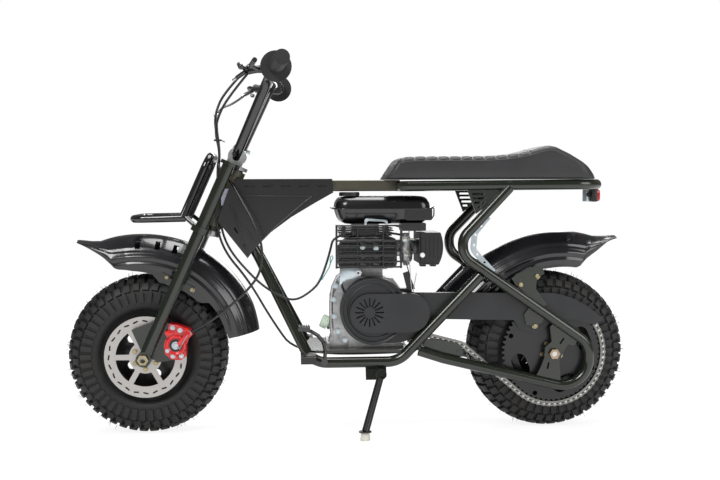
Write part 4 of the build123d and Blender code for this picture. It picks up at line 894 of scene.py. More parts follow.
def fender_mesh(axle_x, outward_x, stations, slots=()):
    """The closed sheet: outer and inner skins, rims all round, and slots cut through.

    Each station is an angle from the level line (or a negative distance along the straight
    tail), the crown's radius, the lower edge's radius and the half width.
    """
    outer, inner = fender_skins(axle_x, outward_x, stations)
    rows, columns = outer.shape[:2]
    index = np.arange(rows * columns).reshape(rows, columns)
    shift = rows * columns
    share = section_shares()
    signed = np.concatenate([-share[:0:-1], share])
    middle_share = np.abs(signed[:-1] + signed[1:]) / 2 / ARCH_SHARE * math.pi / 2
    in_slot = (middle_share > SLOT_ANGLES[0]) & (middle_share < SLOT_ANGLES[1])
    middle_angle = (stations[:-1, 0] + stations[1:, 0]) / 2
    kept = np.pad(np.ones((rows - 1, columns - 1), bool), 1)
    for low, high in slots:
        kept[1:-1, 1:-1] &= ~(((middle_angle > low) & (middle_angle < high))[:, None] & in_slot[None])
    faces = []
    for r, c in zip(*np.nonzero(kept[1:-1, 1:-1])):
        ring = [index[r, c], index[r, c + 1], index[r + 1, c + 1], index[r + 1, c]]
        faces += [ring, [i + shift for i in ring[::-1]]]
        # A wall at each side of the quad that has no neighbour
        walls = ((0, 1, (r, c + 1)), (2, 3, (r + 2, c + 1)), (3, 0, (r + 1, c)), (1, 2, (r + 1, c + 2)))
        for start, stop, neighbour in walls:
            if not kept[neighbour]:
                a, b = ring[start], ring[stop]
                faces.append([a, a + shift, b + shift, b])
    faces = [tuple(int(i) for i in face) for face in faces]
    return np.concatenate([outer.reshape(-1, 3), inner.reshape(-1, 3)]), faces


def stations_from(crown, edge, half, angles):
    """Rows of angle, crown radius, edge radius and half width, read from three tables."""
    return np.stack([angles] + [np.interp(angles, *zip(*table)) for table in (crown, edge, half)], -1)


SLOT_CENTRES = (74.6, 83.9, 94.2)
SLOT_HALF = 1.35
front_slots = [(c - SLOT_HALF, c + SLOT_HALF) for c in SLOT_CENTRES]
front_angles = np.concatenate([np.linspace(11.5, 121.5, 90), np.ravel(front_slots)])
front_angles = np.unique(front_angles.round(4))
# Tables of angle and value: the crown's radius, the lower edge's radius and the half width
front_crown = [
    (11.5, 251), (18, 253), (25, 256), (47, 258.5), (58.8, 261), (69.6, 262), (81.4, 263.5), (94.2, 266.5),
    (106, 270.5), (113, 272), (117, 281), (121.5, 297),
]
front_edge = [
    (11.5, 186), (16.8, 183), (28.5, 183), (40, 182), (43.5, 170), (46.8, 166), (79.3, 166), (83, 176),
    (85, 182), (98, 191), (107, 201), (109, 206), (112.5, 234), (117.5, 267), (121.5, 293),
]
front_half = [(11.5, 64), (60, 65), (100, 65), (110, 58), (117, 46), (121.5, 32)]
rear_crown = [
    (-72, 259), (46, 259), (56.7, 257), (65, 257), (76, 260.5), (85.6, 265), (95.8, 269.5), (105.8, 275),
    (114, 279.5), (118.5, 290), (122.8, 305),
]
rear_edge = [
    (-72, 190), (46, 184), (61, 183), (90, 188), (108, 198), (110.4, 204), (112, 222), (116.4, 251),
    (119.7, 284), (122.8, 301),
]
rear_half = [(-72, 64), (100, 65), (110, 58), (118, 46), (122.8, 32)]
rear_angles = np.concatenate([np.linspace(-72, -1, 14), np.linspace(46, 122.8, 70)])
front_stations = stations_from(front_crown, front_edge, front_half, front_angles)
rear_stations = stations_from(rear_crown, rear_edge, rear_half, rear_angles)
sheets = {
    "front_fender": ("steering", fender_mesh(FRONT_X, -1.0, front_stations, front_slots)),
    "rear_fender": ("frame", fender_mesh(REAR_X, 1.0, rear_stations)),
}
for node, (body, sheet) in sheets.items():
    fender = outward(place(node + "_sheet", sheet, "fender_black", body, node))
    split_edges(fender, 40.0)
    print(node, "faces:", len(fender.data.polygons))

# %% [markdown]
# ## The engine's tank and head
# The tank is two pressed shells joined at a flange, with a small pointed ear at each end. Below
# it the cooling shroud shows its fins, and the muffler wears thick ribs and two strap blocks.

# %% Tank
TANK_CENTRE = (75.0, 0.0)
TANK_HALF = (107.0, 73.0)
TANK_CORNER = 27.0
# Height and inset of each ring, from the lower shell's bottom to the top
TANK_RINGS = (
    (467.0, 34.0), (468.5, 21.0), (473.0, 12.0), (481.0, 6.5), (492.0, 2.6), (500.2, 0.8),
    (500.4, -4.6), (501.0, -5.0), (503.0, -5.0), (503.6, -4.6), (503.8, 0.4), (508.0, 0.6),
    (514.0, 1.8), (519.0, 4.0), (524.0, 7.6), (527.6, 12.6), (529.6, 19.0), (530.2, 30.0),
)


def tank_shell():
    rings = []
    for height, inset in TANK_RINGS:
        radius = max(8.0, TANK_CORNER - 0.6 * max(inset, 0.0))
        outline = rounded_outline(TANK_HALF[0] - inset, TANK_HALF[1] - inset, radius, 8)
        rings.append(np.column_stack([outline + TANK_CENTRE, np.full(len(outline), height)]))
    return skin(np.array(rings), close_columns=True, cap_ends=True)


def ear(x, tip, rise):
    outline = [(x, 500.8), (tip, 501.5 + rise), (tip, 503.5 + rise), (x, 503.4)]
    return plate(outline, 34.0, (0, -38, 0))


def level_path(y, pairs):
    """Points (x, y, z) of a path in one plane."""
    return np.array([(x, y, z) for x, z in pairs], float)


tank_wire = level_path(-50, [(187, 505), (190.5, 501), (190, 486), (185, 478), (172, 477)])
tank = solid("tank_shells", [
    tank_shell(), ear(-31.0, -43.0, 1.5), ear(181.0, 191.0, 5.0), pad(30, 14, 3, 50.0, (34, -45, 456)),
    pad(28, 9, 3, 46.0, (142, -45, 461)), pad(30, 13, 4, 5.0, (153, -72.5, 489)), sweep(tank_wire, 1.5, 8),
], "engine_black", replaced="fuel_tank")
print("tank faces:", len(tank.data.polygons))

# %% Shroud, muffler and guard details
fins = [pad(62 - 2 * abs(n - 2), 1.3, 1.2, 56.0, (34, -54, 443.5 + 5.2 * n)) for n in range(4)]
fins += [pad(3.5, 11, 2, 54.0, (x, -54, 452)) for x in (-14, 8, 60, 82)]
solid("shroud_fins", fins, "engine_black", edge=0.5)
saddle = [
    (31, 466), (31, 476), (35, 480.5), (78, 478), (83, 474), (83, 466), (78, 465), (78, 471), (73, 473.5),
    (40, 475), (36, 472), (36, 465),
]
solid("bright_saddle", [plate(saddle, 7.0, (0, -77, 0))], "zinc", edge=0.8)

MUFFLER_OUTLINE = [
    (-27, 377), (-27.5, 418), (-22, 428), (-13, 435), (2, 440), (86, 441), (98, 437), (102, 430),
    (102, 380), (98, 374), (92, 371.5), (-20, 371.5),
]
muffler = [plate(MUFFLER_OUTLINE, 50.0, (0, -71.5, 0))]
for n, (half, middle) in enumerate([(61.5, 36)] * 4 + [(60.3, 37)]):
    muffler.append(pad(half, 3.1, 3.0, 5.0, (middle, -97.0, 379 + 13.1 * n)))
muffler += [pad(2.4, 29, 2.2, 4.4, (x, -97.0, 405)) for x in (-19, -7, 5, 42, 72, 84, 96)]
for x in (26.5, 55.5):
    muffler += [pad(7.0, high, 3.0, 8.0, (x, -98.5, z)) for z, high in ((384, 8), (404, 9), (428, 9))]
    muffler.append(pad(4.6, 34, 3.0, 4.0, (x, -98.0, 406)))
muffler.append(rod((36, -49, 413), (36, -20, 413), 14.0, 24))
solid("muffler_shells", muffler, "engine_black", replaced="muffler", edge=1.1)


def bolts(y, spots, radius, height, washer=1.5, direction=LEFT):
    """Hexagonal bolts at (x, z) spots on a face at y."""
    return [put(hex_bolt(radius, height, washer), (x, y, z), direction) for x, z in spots]


solid("muffler_bolts", bolts(-102.0, [(25.5, 418.5), (55.0, 415.0)], 4.2, 3.2, 1.0), "zinc")
corner_wire = level_path(-107, [(96, 466), (106, 463), (111, 456), (111.5, 446)])
lattice = [sweep(corner_wire, 1.9, 8), rod((-33, -106, 410), (112, -106, 410), 1.7, 8)]
lattice += [rod((x, -106, 373), (x, -106, 466), 1.8, 8) for x in (14, 70)]
solid("guard_lattice", lattice, "black_satin")
print("muffler and guard ready")

# %% Bracket and carburettor
EYE = (16.5, -86.0, 360.5)
bracket_outline = [
    (-24, 374.5), (14, 372), (22, 368), (25, 360.5), (21.5, 352.5), (14, 348), (-10, 345.5), (-17, 341),
    (-21, 334), (-25, 334),
]
solid("zinc_bracket", [plate(bracket_outline, 3.0, (0, -84.5, 0))], "zinc", edge=0.7)
solid("bracket_eye", [put(washer(2.6, 5.6, -1.0, 1.4, 24), EYE)], "steel")
# Painted shade: a flat dark disc fills the eye's open hole
solid("bracket_hole_painted_shade", [put(lathe([(0, 0), (3.0, 0), (3.0, 0.9), (0, 0.9)], 20), EYE)], "black_plastic")
feet = [rod((-14, -84, 345), (-14, -60, 345), 4.0, 12), rod((-22, -84, 338), (-14, -62, 316), 3.2, 12)]
solid("bracket_feet", feet, "zinc")

bowl = lathe([
    (0, 373), (5, 373), (6.5, 375), (6.5, 378.5), (9, 379), (12.5, 383), (14.5, 388), (15, 403),
    (17.5, 404), (17.5, 408), (15, 409), (14, 411), (14, 424), (16.5, 425), (16.5, 430), (10, 431.5),
    (8.5, 434), (8.5, 446), (4, 447), (0, 447),
], 40)
throat = lathe([
    (0, 0), (19, 0), (19, 6), (15.5, 7), (15.5, 44), (14, 46), (14, 66), (19, 67), (19, 74), (16, 75),
    (16, 82), (0, 82),
], 32)
carburettor = [
    moved(bowl, (128, -38, 0)), put(throat, (71, -16, 413), (1, 0, 0)), pad(17, 11, 4, 16.0, (128, -27, 415)),
]
solid("carburettor_body", carburettor, "engine_silver", replaced="carburettor", edge=0.5)
links = [
    rod((133, -57, 376), (133, -57, 465), 1.4, 8), rod((112, -55, 433), (153, -55, 434), 1.3, 8),
    rod((133, -66, 383), (137.5, -66, 319), 1.0, 8), rod((148.8, -66, 358), (141, -66, 315), 1.0, 8),
    rod((133, -57, 378), (133, -66, 383), 1.0, 8), rod((141, -66, 315), (139, -55, 314), 1.0, 8),
    rod((137.5, -66, 320), (137, -55, 318), 1.0, 8),
]
solid("carburettor_links", links, "steel")
arms = [
    plate([(112, 437), (126, 441), (136, 438), (137, 430), (124, 427), (113, 430)], 2.4, (0, -53, 0)),
    plate([(119, 404), (127, 407), (137, 402), (136, 395), (123, 394)], 2.4, (0, -54, 0)),
]
solid("carburettor_arms", arms, "zinc", edge=0.4)
screws = bolts(-55.2, [(117, 433.5), (131, 433.5), (128, 400.5)], 2.6, 2.0, 0.8)
solid("carburettor_screws", screws, "brass_nut")
print("carburettor ready")

# %% Air box
LID = [
    (153.6, 447.5), (153.6, 384), (158, 379.5), (194, 378.5), (200, 392), (203.6, 413), (202.5, 432),
    (198.5, 447.5),
]
panel = [sweep(level_path(-86.2, LID + LID[:1]), 1.2, 8)]
panel += [rod((158 + 9 * n, -86.0, 392), (158 + 9 * n, -86.0, 440), 0.8, 6) for n in range(5)]
panel += [pad(6.5, 4, 1.5, 20, (x, -60, 376.5)) for x in (163, 186)]
solid("air_box_ribs", panel, "black_plastic")
knob = lathe([(0, 0), (5.4, 0), (5.8, 1.5), (5.6, 5), (4.2, 6.6), (0, 7)], 28)
solid("air_box_knob", [put(knob, (159.5, -85.8, 399))], "steel", material=white_plastic)

# %% Clutch cover rims, filler cap and case details
COVER_CENTRE = (50.0, -100.0, 277.0)
drum_rim = lathe([
    (63.5, -2), (74.4, -2), (74.4, 2.4), (73.2, 4.6), (70.6, 5.4), (68.2, 4.2), (67.2, 1.0), (65.2, 0.6),
    (63.5, 0.4), (63.5, -2),
], 96)
inner_rim = lathe([(56.6, -1), (61.6, -1), (61.2, 1.6), (59.2, 2.4), (57.2, 1.6), (56.6, -1)], 96)
solid("cover_rims", [put(rim, COVER_CENTRE) for rim in (drum_rim, inner_rim)], "guard_charcoal")
FILLER_AT = np.array([-40, -40, 240])
FILLER_TILT = math.radians(25)
CAP_RIBS = 18
cap_axes = axes_along((-math.cos(FILLER_TILT), 0, math.sin(FILLER_TILT)))
cap_ribs = []
for turn in np.arange(CAP_RIBS) * TURN / CAP_RIBS:
    out = cap_axes[0] * math.cos(turn) + cap_axes[1] * math.sin(turn)
    start = FILLER_AT + cap_axes[2] * 11.5 + out * 13.8
    cap_ribs.append(rod(start, start + cap_axes[2] * 12.5, 1.3, 6))
solid("filler_ribs", cap_ribs, "cap_green")
neck_ring = lathe([(0, 0), (13, 0), (13, 4), (11, 5), (0, 5)], 28)
solid("filler_neck", [put(neck_ring, FILLER_AT + 3.0 * cap_axes[2], cap_axes[2])], "engine_silver")
case_spots = [(-33, 330), (-37, 300), (-36, 262), (-28, 228), (-12, 208), (-22, 345)]
case_rim = level_path(-58, [(-40, 214), (-43, 250), (-43, 296), (-39, 326), (-28, 350), (-12, 362)])
solid("case_flange", [sweep(case_rim, 4.2, 12)], "engine_silver")
foot = [(-48, 193), (-48, 203), (-40, 230), (-30, 230), (-22, 205), (-4, 205), (-4, 193)]
solid("case_feet", [plate(foot, 6, (0, y, 0)) for y in (-58, -34, -12)], "engine_silver", edge=1.0)
solid("case_bolts", bolts(-62.5, case_spots, 4.4, 3.6), "zinc")
green_loop = level_path(-60, [
    (-46, 374), (-44, 380), (-40.5, 388), (-38, 394), (-39.5, 397.5), (-43, 396), (-44.5, 388), (-44, 379),
    (-47, 371), (-56, 356), (-64, 343),
])
green_loop[-1, 1] = -61
solid("wire_loop", [sweep(green_loop, 1.1, 8)], "cap_green", material=teal_wire)
print("covers and case ready")

# %% [markdown]
# ## Cables
# The front brake's cable stays on the steering. The rear brake's and the throttle's cross from
# the bar to the frame and are left fixed in the world, on no body. Each follows one smooth
# spline through its route.

# %% Cable routes
CABLE_RADIUS = 0.0026
FRONT_BRAKE_ROUTE = [
    (-217, -204, 787), (-264, -158, 738), (-290, -84, 700), (-297, -48.5, 668),
    (-289, -48.5, 636), (-289, -48.5, 612), (-293.3, -50, 600), (-262, -76, 560),
    (-237, -120, 520), (-206, -158, 468), (-191, -166, 422), (-196, -164, 369),
    (-226, -156, 329), (-275, -134, 285), (-320, -111, 251), (-356, -94, 232),
]
REAR_BRAKE_ROUTE = [
    (-221, -210, 793), (-270, -164, 750), (-294, -84, 712), (-298, -42, 685),
    (-289, -42, 640), (-289, -42, 612), (-293.3, -42, 600), (-294, -34, 546),
    (-300, -33, 476), (-281, -40, 408), (-227, -50, 345), (-175, -30, 250),
    (-120, -30, 172), (120, -30, 172), (170, 60, 168), (205, 84, 160),
    (310, 86, 152), (340, 86, 170), (366, 86, 205),
]
THROTTLE_ROUTE = [
    (-221, 207, 793), (-262, 120, 748), (-290, -20, 728), (-296, -36, 690),
    (-289, -36, 640), (-289, -36, 612), (-291, -35.5, 600), (-284.5, -30.5, 545),
    (-291, -31, 474), (-272, -38, 413), (-217, -62, 352), (-180, -70, 322),
    (-143, -74, 303), (-118, -72, 301), (-90, -66, 317), (-67, -62, 339),
    (-45, -42, 400), (-35, -40, 447), (98, -40, 449), (124, -31, 440),
]


def spline_tube(name, routes, node):
    """A mesh tube round the smooth spline of each route, in leaned metres, with closed ends."""
    curve = bpy.data.curves.new(name, "CURVE")
    curve.dimensions = "3D"
    curve.bevel_depth = CABLE_RADIUS
    curve.bevel_resolution = 3
    curve.use_fill_caps = True
    for route in routes:
        spline = curve.splines.new("NURBS")
        spline.points.add(len(route) - 1)
        places = np.column_stack([parked(route), np.ones(len(route))])
        spline.points.foreach_set("co", places.ravel())
        spline.order_u = 3
        spline.use_endpoint_u = True
        spline.resolution_u = 8
    holder = bpy.data.objects.new(name, curve)
    mesh = bpy.data.meshes.new_from_object(holder)
    bpy.data.objects.remove(holder)
    bpy.data.curves.remove(curve)
    mesh.materials.clear()
    mesh.materials.append(finish["cable_black"])
    mesh.shade_smooth()
    tube = bpy.data.objects.new(name, mesh)
    bpy.context.scene.collection.objects.link(tube)
    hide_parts(node)
    return outward(tube)


front_cable = spline_tube("front_brake_hose", [FRONT_BRAKE_ROUTE], "front_brake_cable")
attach(front_cable, "steering")
other_cables = spline_tube("bar_cables", [REAR_BRAKE_ROUTE, THROTTLE_ROUTE], "control_cables")
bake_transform(other_cables)
print("cable faces:", len(front_cable.data.polygons), len(other_cables.data.polygons))

# %% Ties and clips


def collar(centre, direction, radius, width, thickness=1.3):
    """A flat band round a bundle."""
    return put(washer(radius, radius + thickness, -width / 2, width / 2, 24), centre, direction)


white_tie = [
    collar((-292.5, -60, 709), (0.1, 0.5, 1), 6.0, 3.0), rod((-298, -64, 711), (-305, -66, 718), 1.1, 6),
]
solid("white_tie", white_tie, "grip_rubber", "steering", material=white_plastic)
dark_tie = [
    collar((-292, -44, 655), (0, 0, 1), 7.5, 3.5), rod((-285, -47, 655), (-276, -50, 651), 1.1, 6),
]
solid("dark_tie", dark_tie, "grip_rubber", "steering", material=finish["black_plastic"])
print("ties made")

# %% [markdown]
# ## Controls, clamps and neck
# Each lever turns in a cast perch with an adjuster barrel. The bar sits in bright clamps with
# two bolts each, and a blank plate is riveted beside the head tube.

# %% Levers and perches


def lever_set(side):
    """A perch's clamp, its adjuster and pivot, and a lever that ends in a ball."""
    bar = np.array([-164.5, side * 212.0, 794.0])
    perch = np.array([-219.0, side * 214.0, 790.0])
    bright = [
        put(hex_bolt(4.2, 3.0), perch + [4, 0, 9], (0.3, 0, 1)),
        rod(perch + [-20, -side * 12, -12], perch + [-30, -side * 20, -18], 3.2, 12),
        put(hex_bolt(4.0, 2.6), bar + [-9, side * 2, 11], (-0.6, 0, 0.8)),
    ]
    path = perch + np.array([
        [0, 0, 2], [-10, side * 14, 6], [-15, side * 40, 8], [-13, side * 80, 4], [-8, side * 112, -4],
    ])
    share = np.linspace(0, 1, len(path))
    fine = np.linspace(0, 1, 24)
    smooth_path = np.stack([np.interp(fine, share, path[:, k]) for k in range(3)], -1)
    half_turn = np.linspace(0, math.pi, 12)
    ball = np.stack([6.0 * np.sin(half_turn), -6.0 * np.cos(half_turn)], -1)
    dark = [
        sweep(smooth_path, np.interp(fine, [0, 0.2, 1], [5.2, 4.6, 4.0]), 14),
        moved(lathe(ball, 18), path[-1]),
        put(collar((0, 0, 0), (0, 0, 1), 11.3, 16.0, 3.4), bar, (0.06, 1.0, 0.07)),
        rod(bar + [-11, 0, 2], perch + [2, 0, -2], 6.0, 14),
        rod(perch + [-3, side * 4, -2], perch + [-22, -side * 14, -13], 4.6, 14),
    ]
    return bright, dark


(bright_left, dark_left), (bright_right, dark_right) = lever_set(-1), lever_set(1)
solid("lever_metal", bright_left + bright_right, "zinc", "steering")
solid("levers", dark_left + dark_right, "black_gloss", "steering")
switch = pad(15, 15, 7, 24, (-167, 180, 792))
solid("bar_switch", [switch], "grip_rubber", "steering", edge=1.5, material=finish["black_plastic"])

# %% Neck plate, cover folds and clamp bolts
neck_plate = plate([(-287, 547), (-263, 548), (-262, 511), (-286, 510)], 1.0, (0, -34.5, 0))
solid("neck_plate", [neck_plate], "zinc", material=grey_plate)
FOLD_Y = -40.0
# x and z of each fold's start and of its end
FOLDS = [
    (-264.5, 509, -226, 397), (-84, 529, -101, 517), (-101, 517, -170, 458), (-170, 458, -200, 428),
    (-268, 512, -213, 429), (-84, 530, -235, 532),
]
folds = [rod((x, FOLD_Y, z), (end_x, FOLD_Y, end_z), 1.5, 8) for x, z, end_x, end_z in FOLDS]
solid("cover_folds", folds, "guard_charcoal")
CLAMP_MIDDLE = np.array([-246.8, 0.0, 621.7])
UP_FORK = np.array([math.sin(RAKE), 0.0, math.cos(RAKE)])
BACK_OF_FORK = np.array([math.cos(RAKE), 0.0, -math.sin(RAKE)])
clamp_bolts = []
for side in (-15.0, 15.0):
    for back in (-14.0, 14.0):
        spot = CLAMP_MIDDLE + [0, side, 0] + BACK_OF_FORK * back + UP_FORK * 13.0
        clamp_bolts.append(put(hex_bolt(4.6, 5.0), spot, UP_FORK))
solid("clamp_bolts", clamp_bolts, "zinc", "steering")
print("controls and neck ready")

# %% [markdown]
# ## Bolts round the bike
# Yellow plated bolts hold the fenders, discs and rear sprocket. A zinc bracket holds the tail
# light.

# %% Bolts


def ring_of_spots(x, radius, count, start):
    """(x, z) places round an axle, the first at an angle in degrees."""
    angles = np.arange(count) * TURN / count + math.radians(start)
    return np.stack([x + radius * np.cos(angles), AXLE_Z + radius * np.sin(angles)], -1)


hub = bolts(-77.6, ring_of_spots(FRONT_X, 26.0, 6, 30), 4.4, 3.4)
solid("front_hub_bolts", hub, "brass_nut", "front_wheel")
hub = bolts(77.6, ring_of_spots(REAR_X, 26.0, 6, 30), 4.4, 3.4, direction=RIGHT)
solid("rear_hub_bolts", hub, "brass_nut", "rear_wheel")
hub = bolts(-82.6, ring_of_spots(REAR_X, 22.0, 5, 122), 3.8, 2.6)
solid("sprocket_bolts", hub, "brass_nut", "rear_wheel")
fender_bolts, bracket_bolts = [], []
for side, direction in ((-1, LEFT), (1, RIGHT)):
    spots = [(-405.3, 352.6), (-350.6, 324.8)]
    fender_bolts += bolts(side * 65.4, spots, 4.8, 3.6, direction=direction)
    spots = [(378.8, 331.9), (415.8, 350.8)]
    bracket_bolts += bolts(side * 93.2, spots, 5.6, 4.2, direction=direction)
bracket_bolts += bolts(-93.2, [(411.6, 239.9)], 5.2, 4.0)
solid("front_fender_bolts", fender_bolts, "brass_nut", "steering")
solid("bracket_bolts", bracket_bolts, "brass_nut")
solid("light_bracket", [pad(4.4, 15.5, 1.5, 34.0, (553.2, 0, 530.5))], "zinc", edge=0.5)
solid("light_bolt", bolts(-16.8, [(553.5, 531)], 4.0, 3.0), "black_plastic")
print("bolts made")

# %% [markdown]
# ## The chain's links, calipers and tail light
# Pins stand on the chain's side plates where its rollers are, with painted shade between them:
# flat dark discs that stand for the shade in the gaps between the plates. The front caliper is a
# round body with a clamped arm and plated bolts, and the tail light has a dark base and a red lens.

# %% Chain pins
# Each wheel's x, z and signed pitch radius
SPROCKETS = np.array([(40.0, 275.0, 20.55), (REAR_X, AXLE_Z, 117.29), (240.0, 182.0, -18.0)])
CHAIN_PITCH = 12.7
CHAIN_LEFT = -86.7


def chain_places(pitch):
    """Points and tangents at half pitches round the loop: arcs on the wheels, lines between.

    A wheel's signed radius is negative where the chain passes on its other side. The common
    tangent's normal is the heading to the next wheel plus acos((r - next r) / distance).
    """
    x, z, r = SPROCKETS.T
    nx, nz, nr = np.roll(SPROCKETS, -1, 0).T
    normal = np.arctan2(nz - z, nx - x) + np.arccos((r - nr) / np.hypot(nx - x, nz - z))
    path = []
    for k in range(len(x)):
        arrive, leave = normal[k - 1], normal[k]
        turn = (arrive - leave) % TURN if r[k] > 0 else -((leave - arrive) % TURN)
        angle = arrive - turn * np.linspace(0, 1, 200)
        path.append(np.column_stack([x[k] + r[k] * np.cos(angle), z[k] + r[k] * np.sin(angle)]))
    path = np.vstack(path + [path[0][:1]])
    along = np.concatenate([[0], np.cumsum(np.hypot(*np.diff(path, axis=0).T))])
    count = 4 * round(along[-1] / pitch / 2)
    stations = np.linspace(0, along[-1], count, endpoint=False)
    points = np.column_stack([np.interp(stations, along, path[:, k]) for k in (0, 1)])
    return points, unit(np.roll(points, -1, 0) - np.roll(points, 1, 0))


spots, tangents = chain_places(CHAIN_PITCH)
none = np.zeros(len(spots))
chain_frames = np.stack([
    np.column_stack([tangents[:, 0], none, tangents[:, 1]]),
    np.column_stack([-tangents[:, 1], none, tangents[:, 0]]),
    np.tile(LEFT, (len(spots), 1)),
    np.column_stack([spots[:, 0], none + CHAIN_LEFT, spots[:, 1]]),
], 1)
pin = lathe([(0, 0), (2.5, 0), (2.5, 0.7), (1.6, 1.1), (0, 1.1)], 10)
# Painted shade: flat dark discs between the pins stand for the shade in the gaps between plates
painted_shade_points, painted_shade_faces = lathe([(0, -0.2), (2.3, -0.2), (2.3, 0.25), (0, 0.25)], 10)
painted_shade_disc = (painted_shade_points * [1.25, 0.62, 1.0], painted_shade_faces)
solid("chain_pins", [repeat(pin, chain_frames[::2])], "chain_steel", material=finish["steel"])
solid("chain_painted_shade", [repeat(painted_shade_disc, chain_frames[1::2])], "black_plastic")
print("chain pins:", len(chain_frames) // 2)

# %% Caliper details
CALIPER_AT = np.array([FRONT_X + 69.0, -102.6, AXLE_Z + 29.0])
body_rings = lathe([
    (14.5, -2), (22.4, -2), (22.4, 1.2), (21.0, 2.8), (18.4, 3.2), (16.6, 2.2), (15.4, 0.6), (14.5, 0.4),
    (14.5, -2),
], 48)
body = [put(body_rings, CALIPER_AT)]
body += [pad(9, 5, 2.5, 5.0, CALIPER_AT + [dx, 2.0, dz]) for dx, dz in ((-14, 27), (18, 33), (-4, -25))]
solid("caliper_body_rings", body, "caliper_red", "steering", edge=0.5)
dark = [
    put(washer(7.0, 14.0, -1.0, 0.9, 36), CALIPER_AT),
    rod(CALIPER_AT + [-24, 2.6, 14], CALIPER_AT + [30, 2.6, 22], 1.0, 6),
    rod(CALIPER_AT + [-22, 2.6, -14], CALIPER_AT + [22, 2.6, -12], 1.0, 6),
]
solid("caliper_dark_parts", dark, "black_plastic", "steering")
arm = plate([(-5, -4), (4, -6), (33, 23), (32, 30), (25, 31)], 3.0, CALIPER_AT + [0, -3.2, 0])
solid("caliper_arm", [arm], "caliper_red", "steering", edge=0.5)
along = np.linspace(0, 1, 60)
spring = CALIPER_AT + np.column_stack([
    8 + along * 18, -5.0 + 0.8 * np.sin(TURN * 7 * along), -8 + along * 32 + 0.8 * np.cos(TURN * 7 * along),
])
# Places of the bolts round the centre nut: the front caliper has one more than the rear
HEADS = [(-6, 39), (10, 33), (-17, -11), (-6, -23), (12, -23), (29, 26)]
heads = [put(hex_bolt(6.4, 3.0, 3.6), CALIPER_AT)]
heads += [put(hex_bolt(4.0, 3.0, 1.2), CALIPER_AT + [dx, -0.2, dz]) for dx, dz in HEADS]
solid("caliper_metal", heads + [sweep(spring, 1.0, 6)], "zinc", "steering")
rear_at = CALIPER_AT * [0, -1, 1] + [REAR_X - 69.0, 0, 0]
heads = [put(hex_bolt(6.4, 3.0), rear_at + [0, -4.0, 0], RIGHT)]
heads += [put(hex_bolt(4.0, 3.0, 1.2), rear_at + [-dx, -4.2, dz], RIGHT) for dx, dz in HEADS[:-1]]
solid("rear_caliper_metal", heads, "zinc")
print("calipers ready")

# %% Tail light and brake pedal
light = [pad(6.2, 14.5, 2, 62.0, (563.6, 0, 529.5)), pad(7.5, 4.5, 1.5, 40.0, (568, 0, 541.5))]
solid("light_base", light, "black_plastic", edge=0.8)
lens = []
for out, inset in ((569.4, 0.0), (574.5, 0.4), (577.0, 2.2), (578.2, 5.0)):
    ring = rounded_outline(30.0 - inset, 13.6 - inset, 4.0)
    lens.append(np.column_stack([np.full(len(ring), out), ring[:, 0], ring[:, 1] + 529.5]))
lens_shape = skin(np.array(lens), close_columns=True, cap_ends=True)
solid("light_lens", [lens_shape], "lens_red", replaced="tail_light")
pedal_path = [
    (-60, -118, 168), (-58, -119, 192), (-62, -121, 212), (-74, -124, 228), (-90, -127, 238),
    (-104, -128, 242),
]
pedal = [
    sweep(pedal_path, 4.2, 12), pad(13, 4, 2, 34.0, (-104, -128, 244)),
    rod((-60, -98, 168), (-60, -124, 168), 7.5, 20),
]
pedal += [pad(1.4, 2.2, 1, 32.0, (-114 + 5 * n, -128, 248.5)) for n in range(5)]
solid("brake_pedal", pedal, "black_gloss")
print("tail light and pedal ready")

# %% [markdown]
# ## The floor and the lights
# White all round and a soft light from above, as in the photograph. The floor and the world look
# white to the camera and partly to mirror rays only, so that the bike isn't flooded with light.

# %% Floor
FLOOR_REACH = 12.0


def white_to_camera(name, tone):
    """Pale floor that is white to the camera and in reflections, and keeps the shadow."""
    floor = Finish(name, roughness=0.9)
    floor.set("Base Color", (tone, tone, tone))
    seen = floor.node("ShaderNodeLightPath", out="Is Camera Ray")
    mirrored = floor.node("ShaderNodeLightPath", out="Is Glossy Ray")
    white = floor.node("ShaderNodeEmission", None, {"Color": (1.0, 1.0, 1.0, 1.0), "Strength": 1.12})
    operation = {"operation": "LENGTH"}
    away = floor.node("ShaderNodeVectorMath", operation, {0: floor.places()}, out="Value")
    share = seen.maths("MAXIMUM", seen * (away.step(1.0, 2.2) * 0.22 + 0.78), mirrored * 0.25)
    plain = Wire(floor, floor.shader.outputs[0])
    mixed = floor.node("ShaderNodeMixShader", None, {0: share, 1: plain, 2: white})
    floor.tree.links.new(mixed.socket, floor.tree.nodes["Material Output"].inputs["Surface"])
    return floor.material


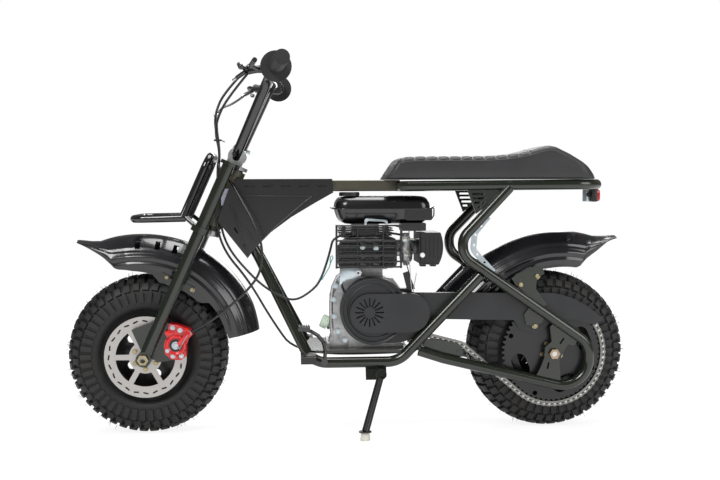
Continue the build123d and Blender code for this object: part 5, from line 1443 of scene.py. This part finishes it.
floor_mesh = bpy.data.meshes.new("floor")
corners = [(FLOOR_REACH * x, FLOOR_REACH * y, 0) for x, y in ((-1, -1), (1, -1), (1, 1), (-1, 1))]
floor_mesh.from_pydata(corners, [], [(0, 1, 2, 3)])
floor_mesh.materials.append(white_to_camera("studio floor", 0.82))
floor = bpy.data.objects.new("studio_floor", floor_mesh)
bpy.context.scene.collection.objects.link(floor)

# %% World and lamps
world = bpy.data.worlds.new("studio")
world.use_nodes = True
bpy.context.scene.world = world
nodes, links = world.node_tree.nodes, world.node_tree.links
rays = nodes.new("ShaderNodeLightPath")


def glow(strength):
    """A white background."""
    made = nodes.new("ShaderNodeBackground")
    made.inputs["Color"].default_value = (1.0, 1.0, 1.0, 1.0)
    made.inputs["Strength"].default_value = strength
    return made.outputs[0]


def seen_by(ray, special, plain):
    """One background for a kind of ray and another for the rest."""
    mix = nodes.new("ShaderNodeMixShader")
    for place_in, wire in enumerate((rays.outputs[ray], plain, special)):
        links.new(wire, mix.inputs[place_in])
    return mix.outputs[0]


sky = seen_by("Is Camera Ray", glow(1.0), seen_by("Is Glossy Ray", glow(0.16), glow(0.5)))
links.new(sky, nodes["World Output"].inputs[0])


def soft_box(name, lamp_at, look_at, size, power):
    """A square area lamp that faces a point."""
    lamp = bpy.data.objects.new(name, bpy.data.lights.new(name, "AREA"))
    lamp.data.size = size
    lamp.data.energy = power
    lamp.location = lamp_at
    lamp.rotation_mode = "QUATERNION"
    lamp.rotation_quaternion = (Vector(look_at) - lamp.location).to_track_quat("-Z", "Y")
    bpy.context.scene.collection.objects.link(lamp)


soft_box("key", (-1.6, -2.6, 2.6), (0.0, 0.0, 0.4), 1.4, 75.0)
soft_box("top", (0.4, 0.2, 3.0), (0.0, 0.0, 0.4), 1.8, 70.0)
soft_box("fill", (2.4, -1.8, 1.4), (0.0, 0.0, 0.4), 1.6, 28.0)
soft_box("back", (0.6, 2.8, 1.8), (0.0, 0.0, 0.5), 1.6, 30.0)
print("stage and lamps set")
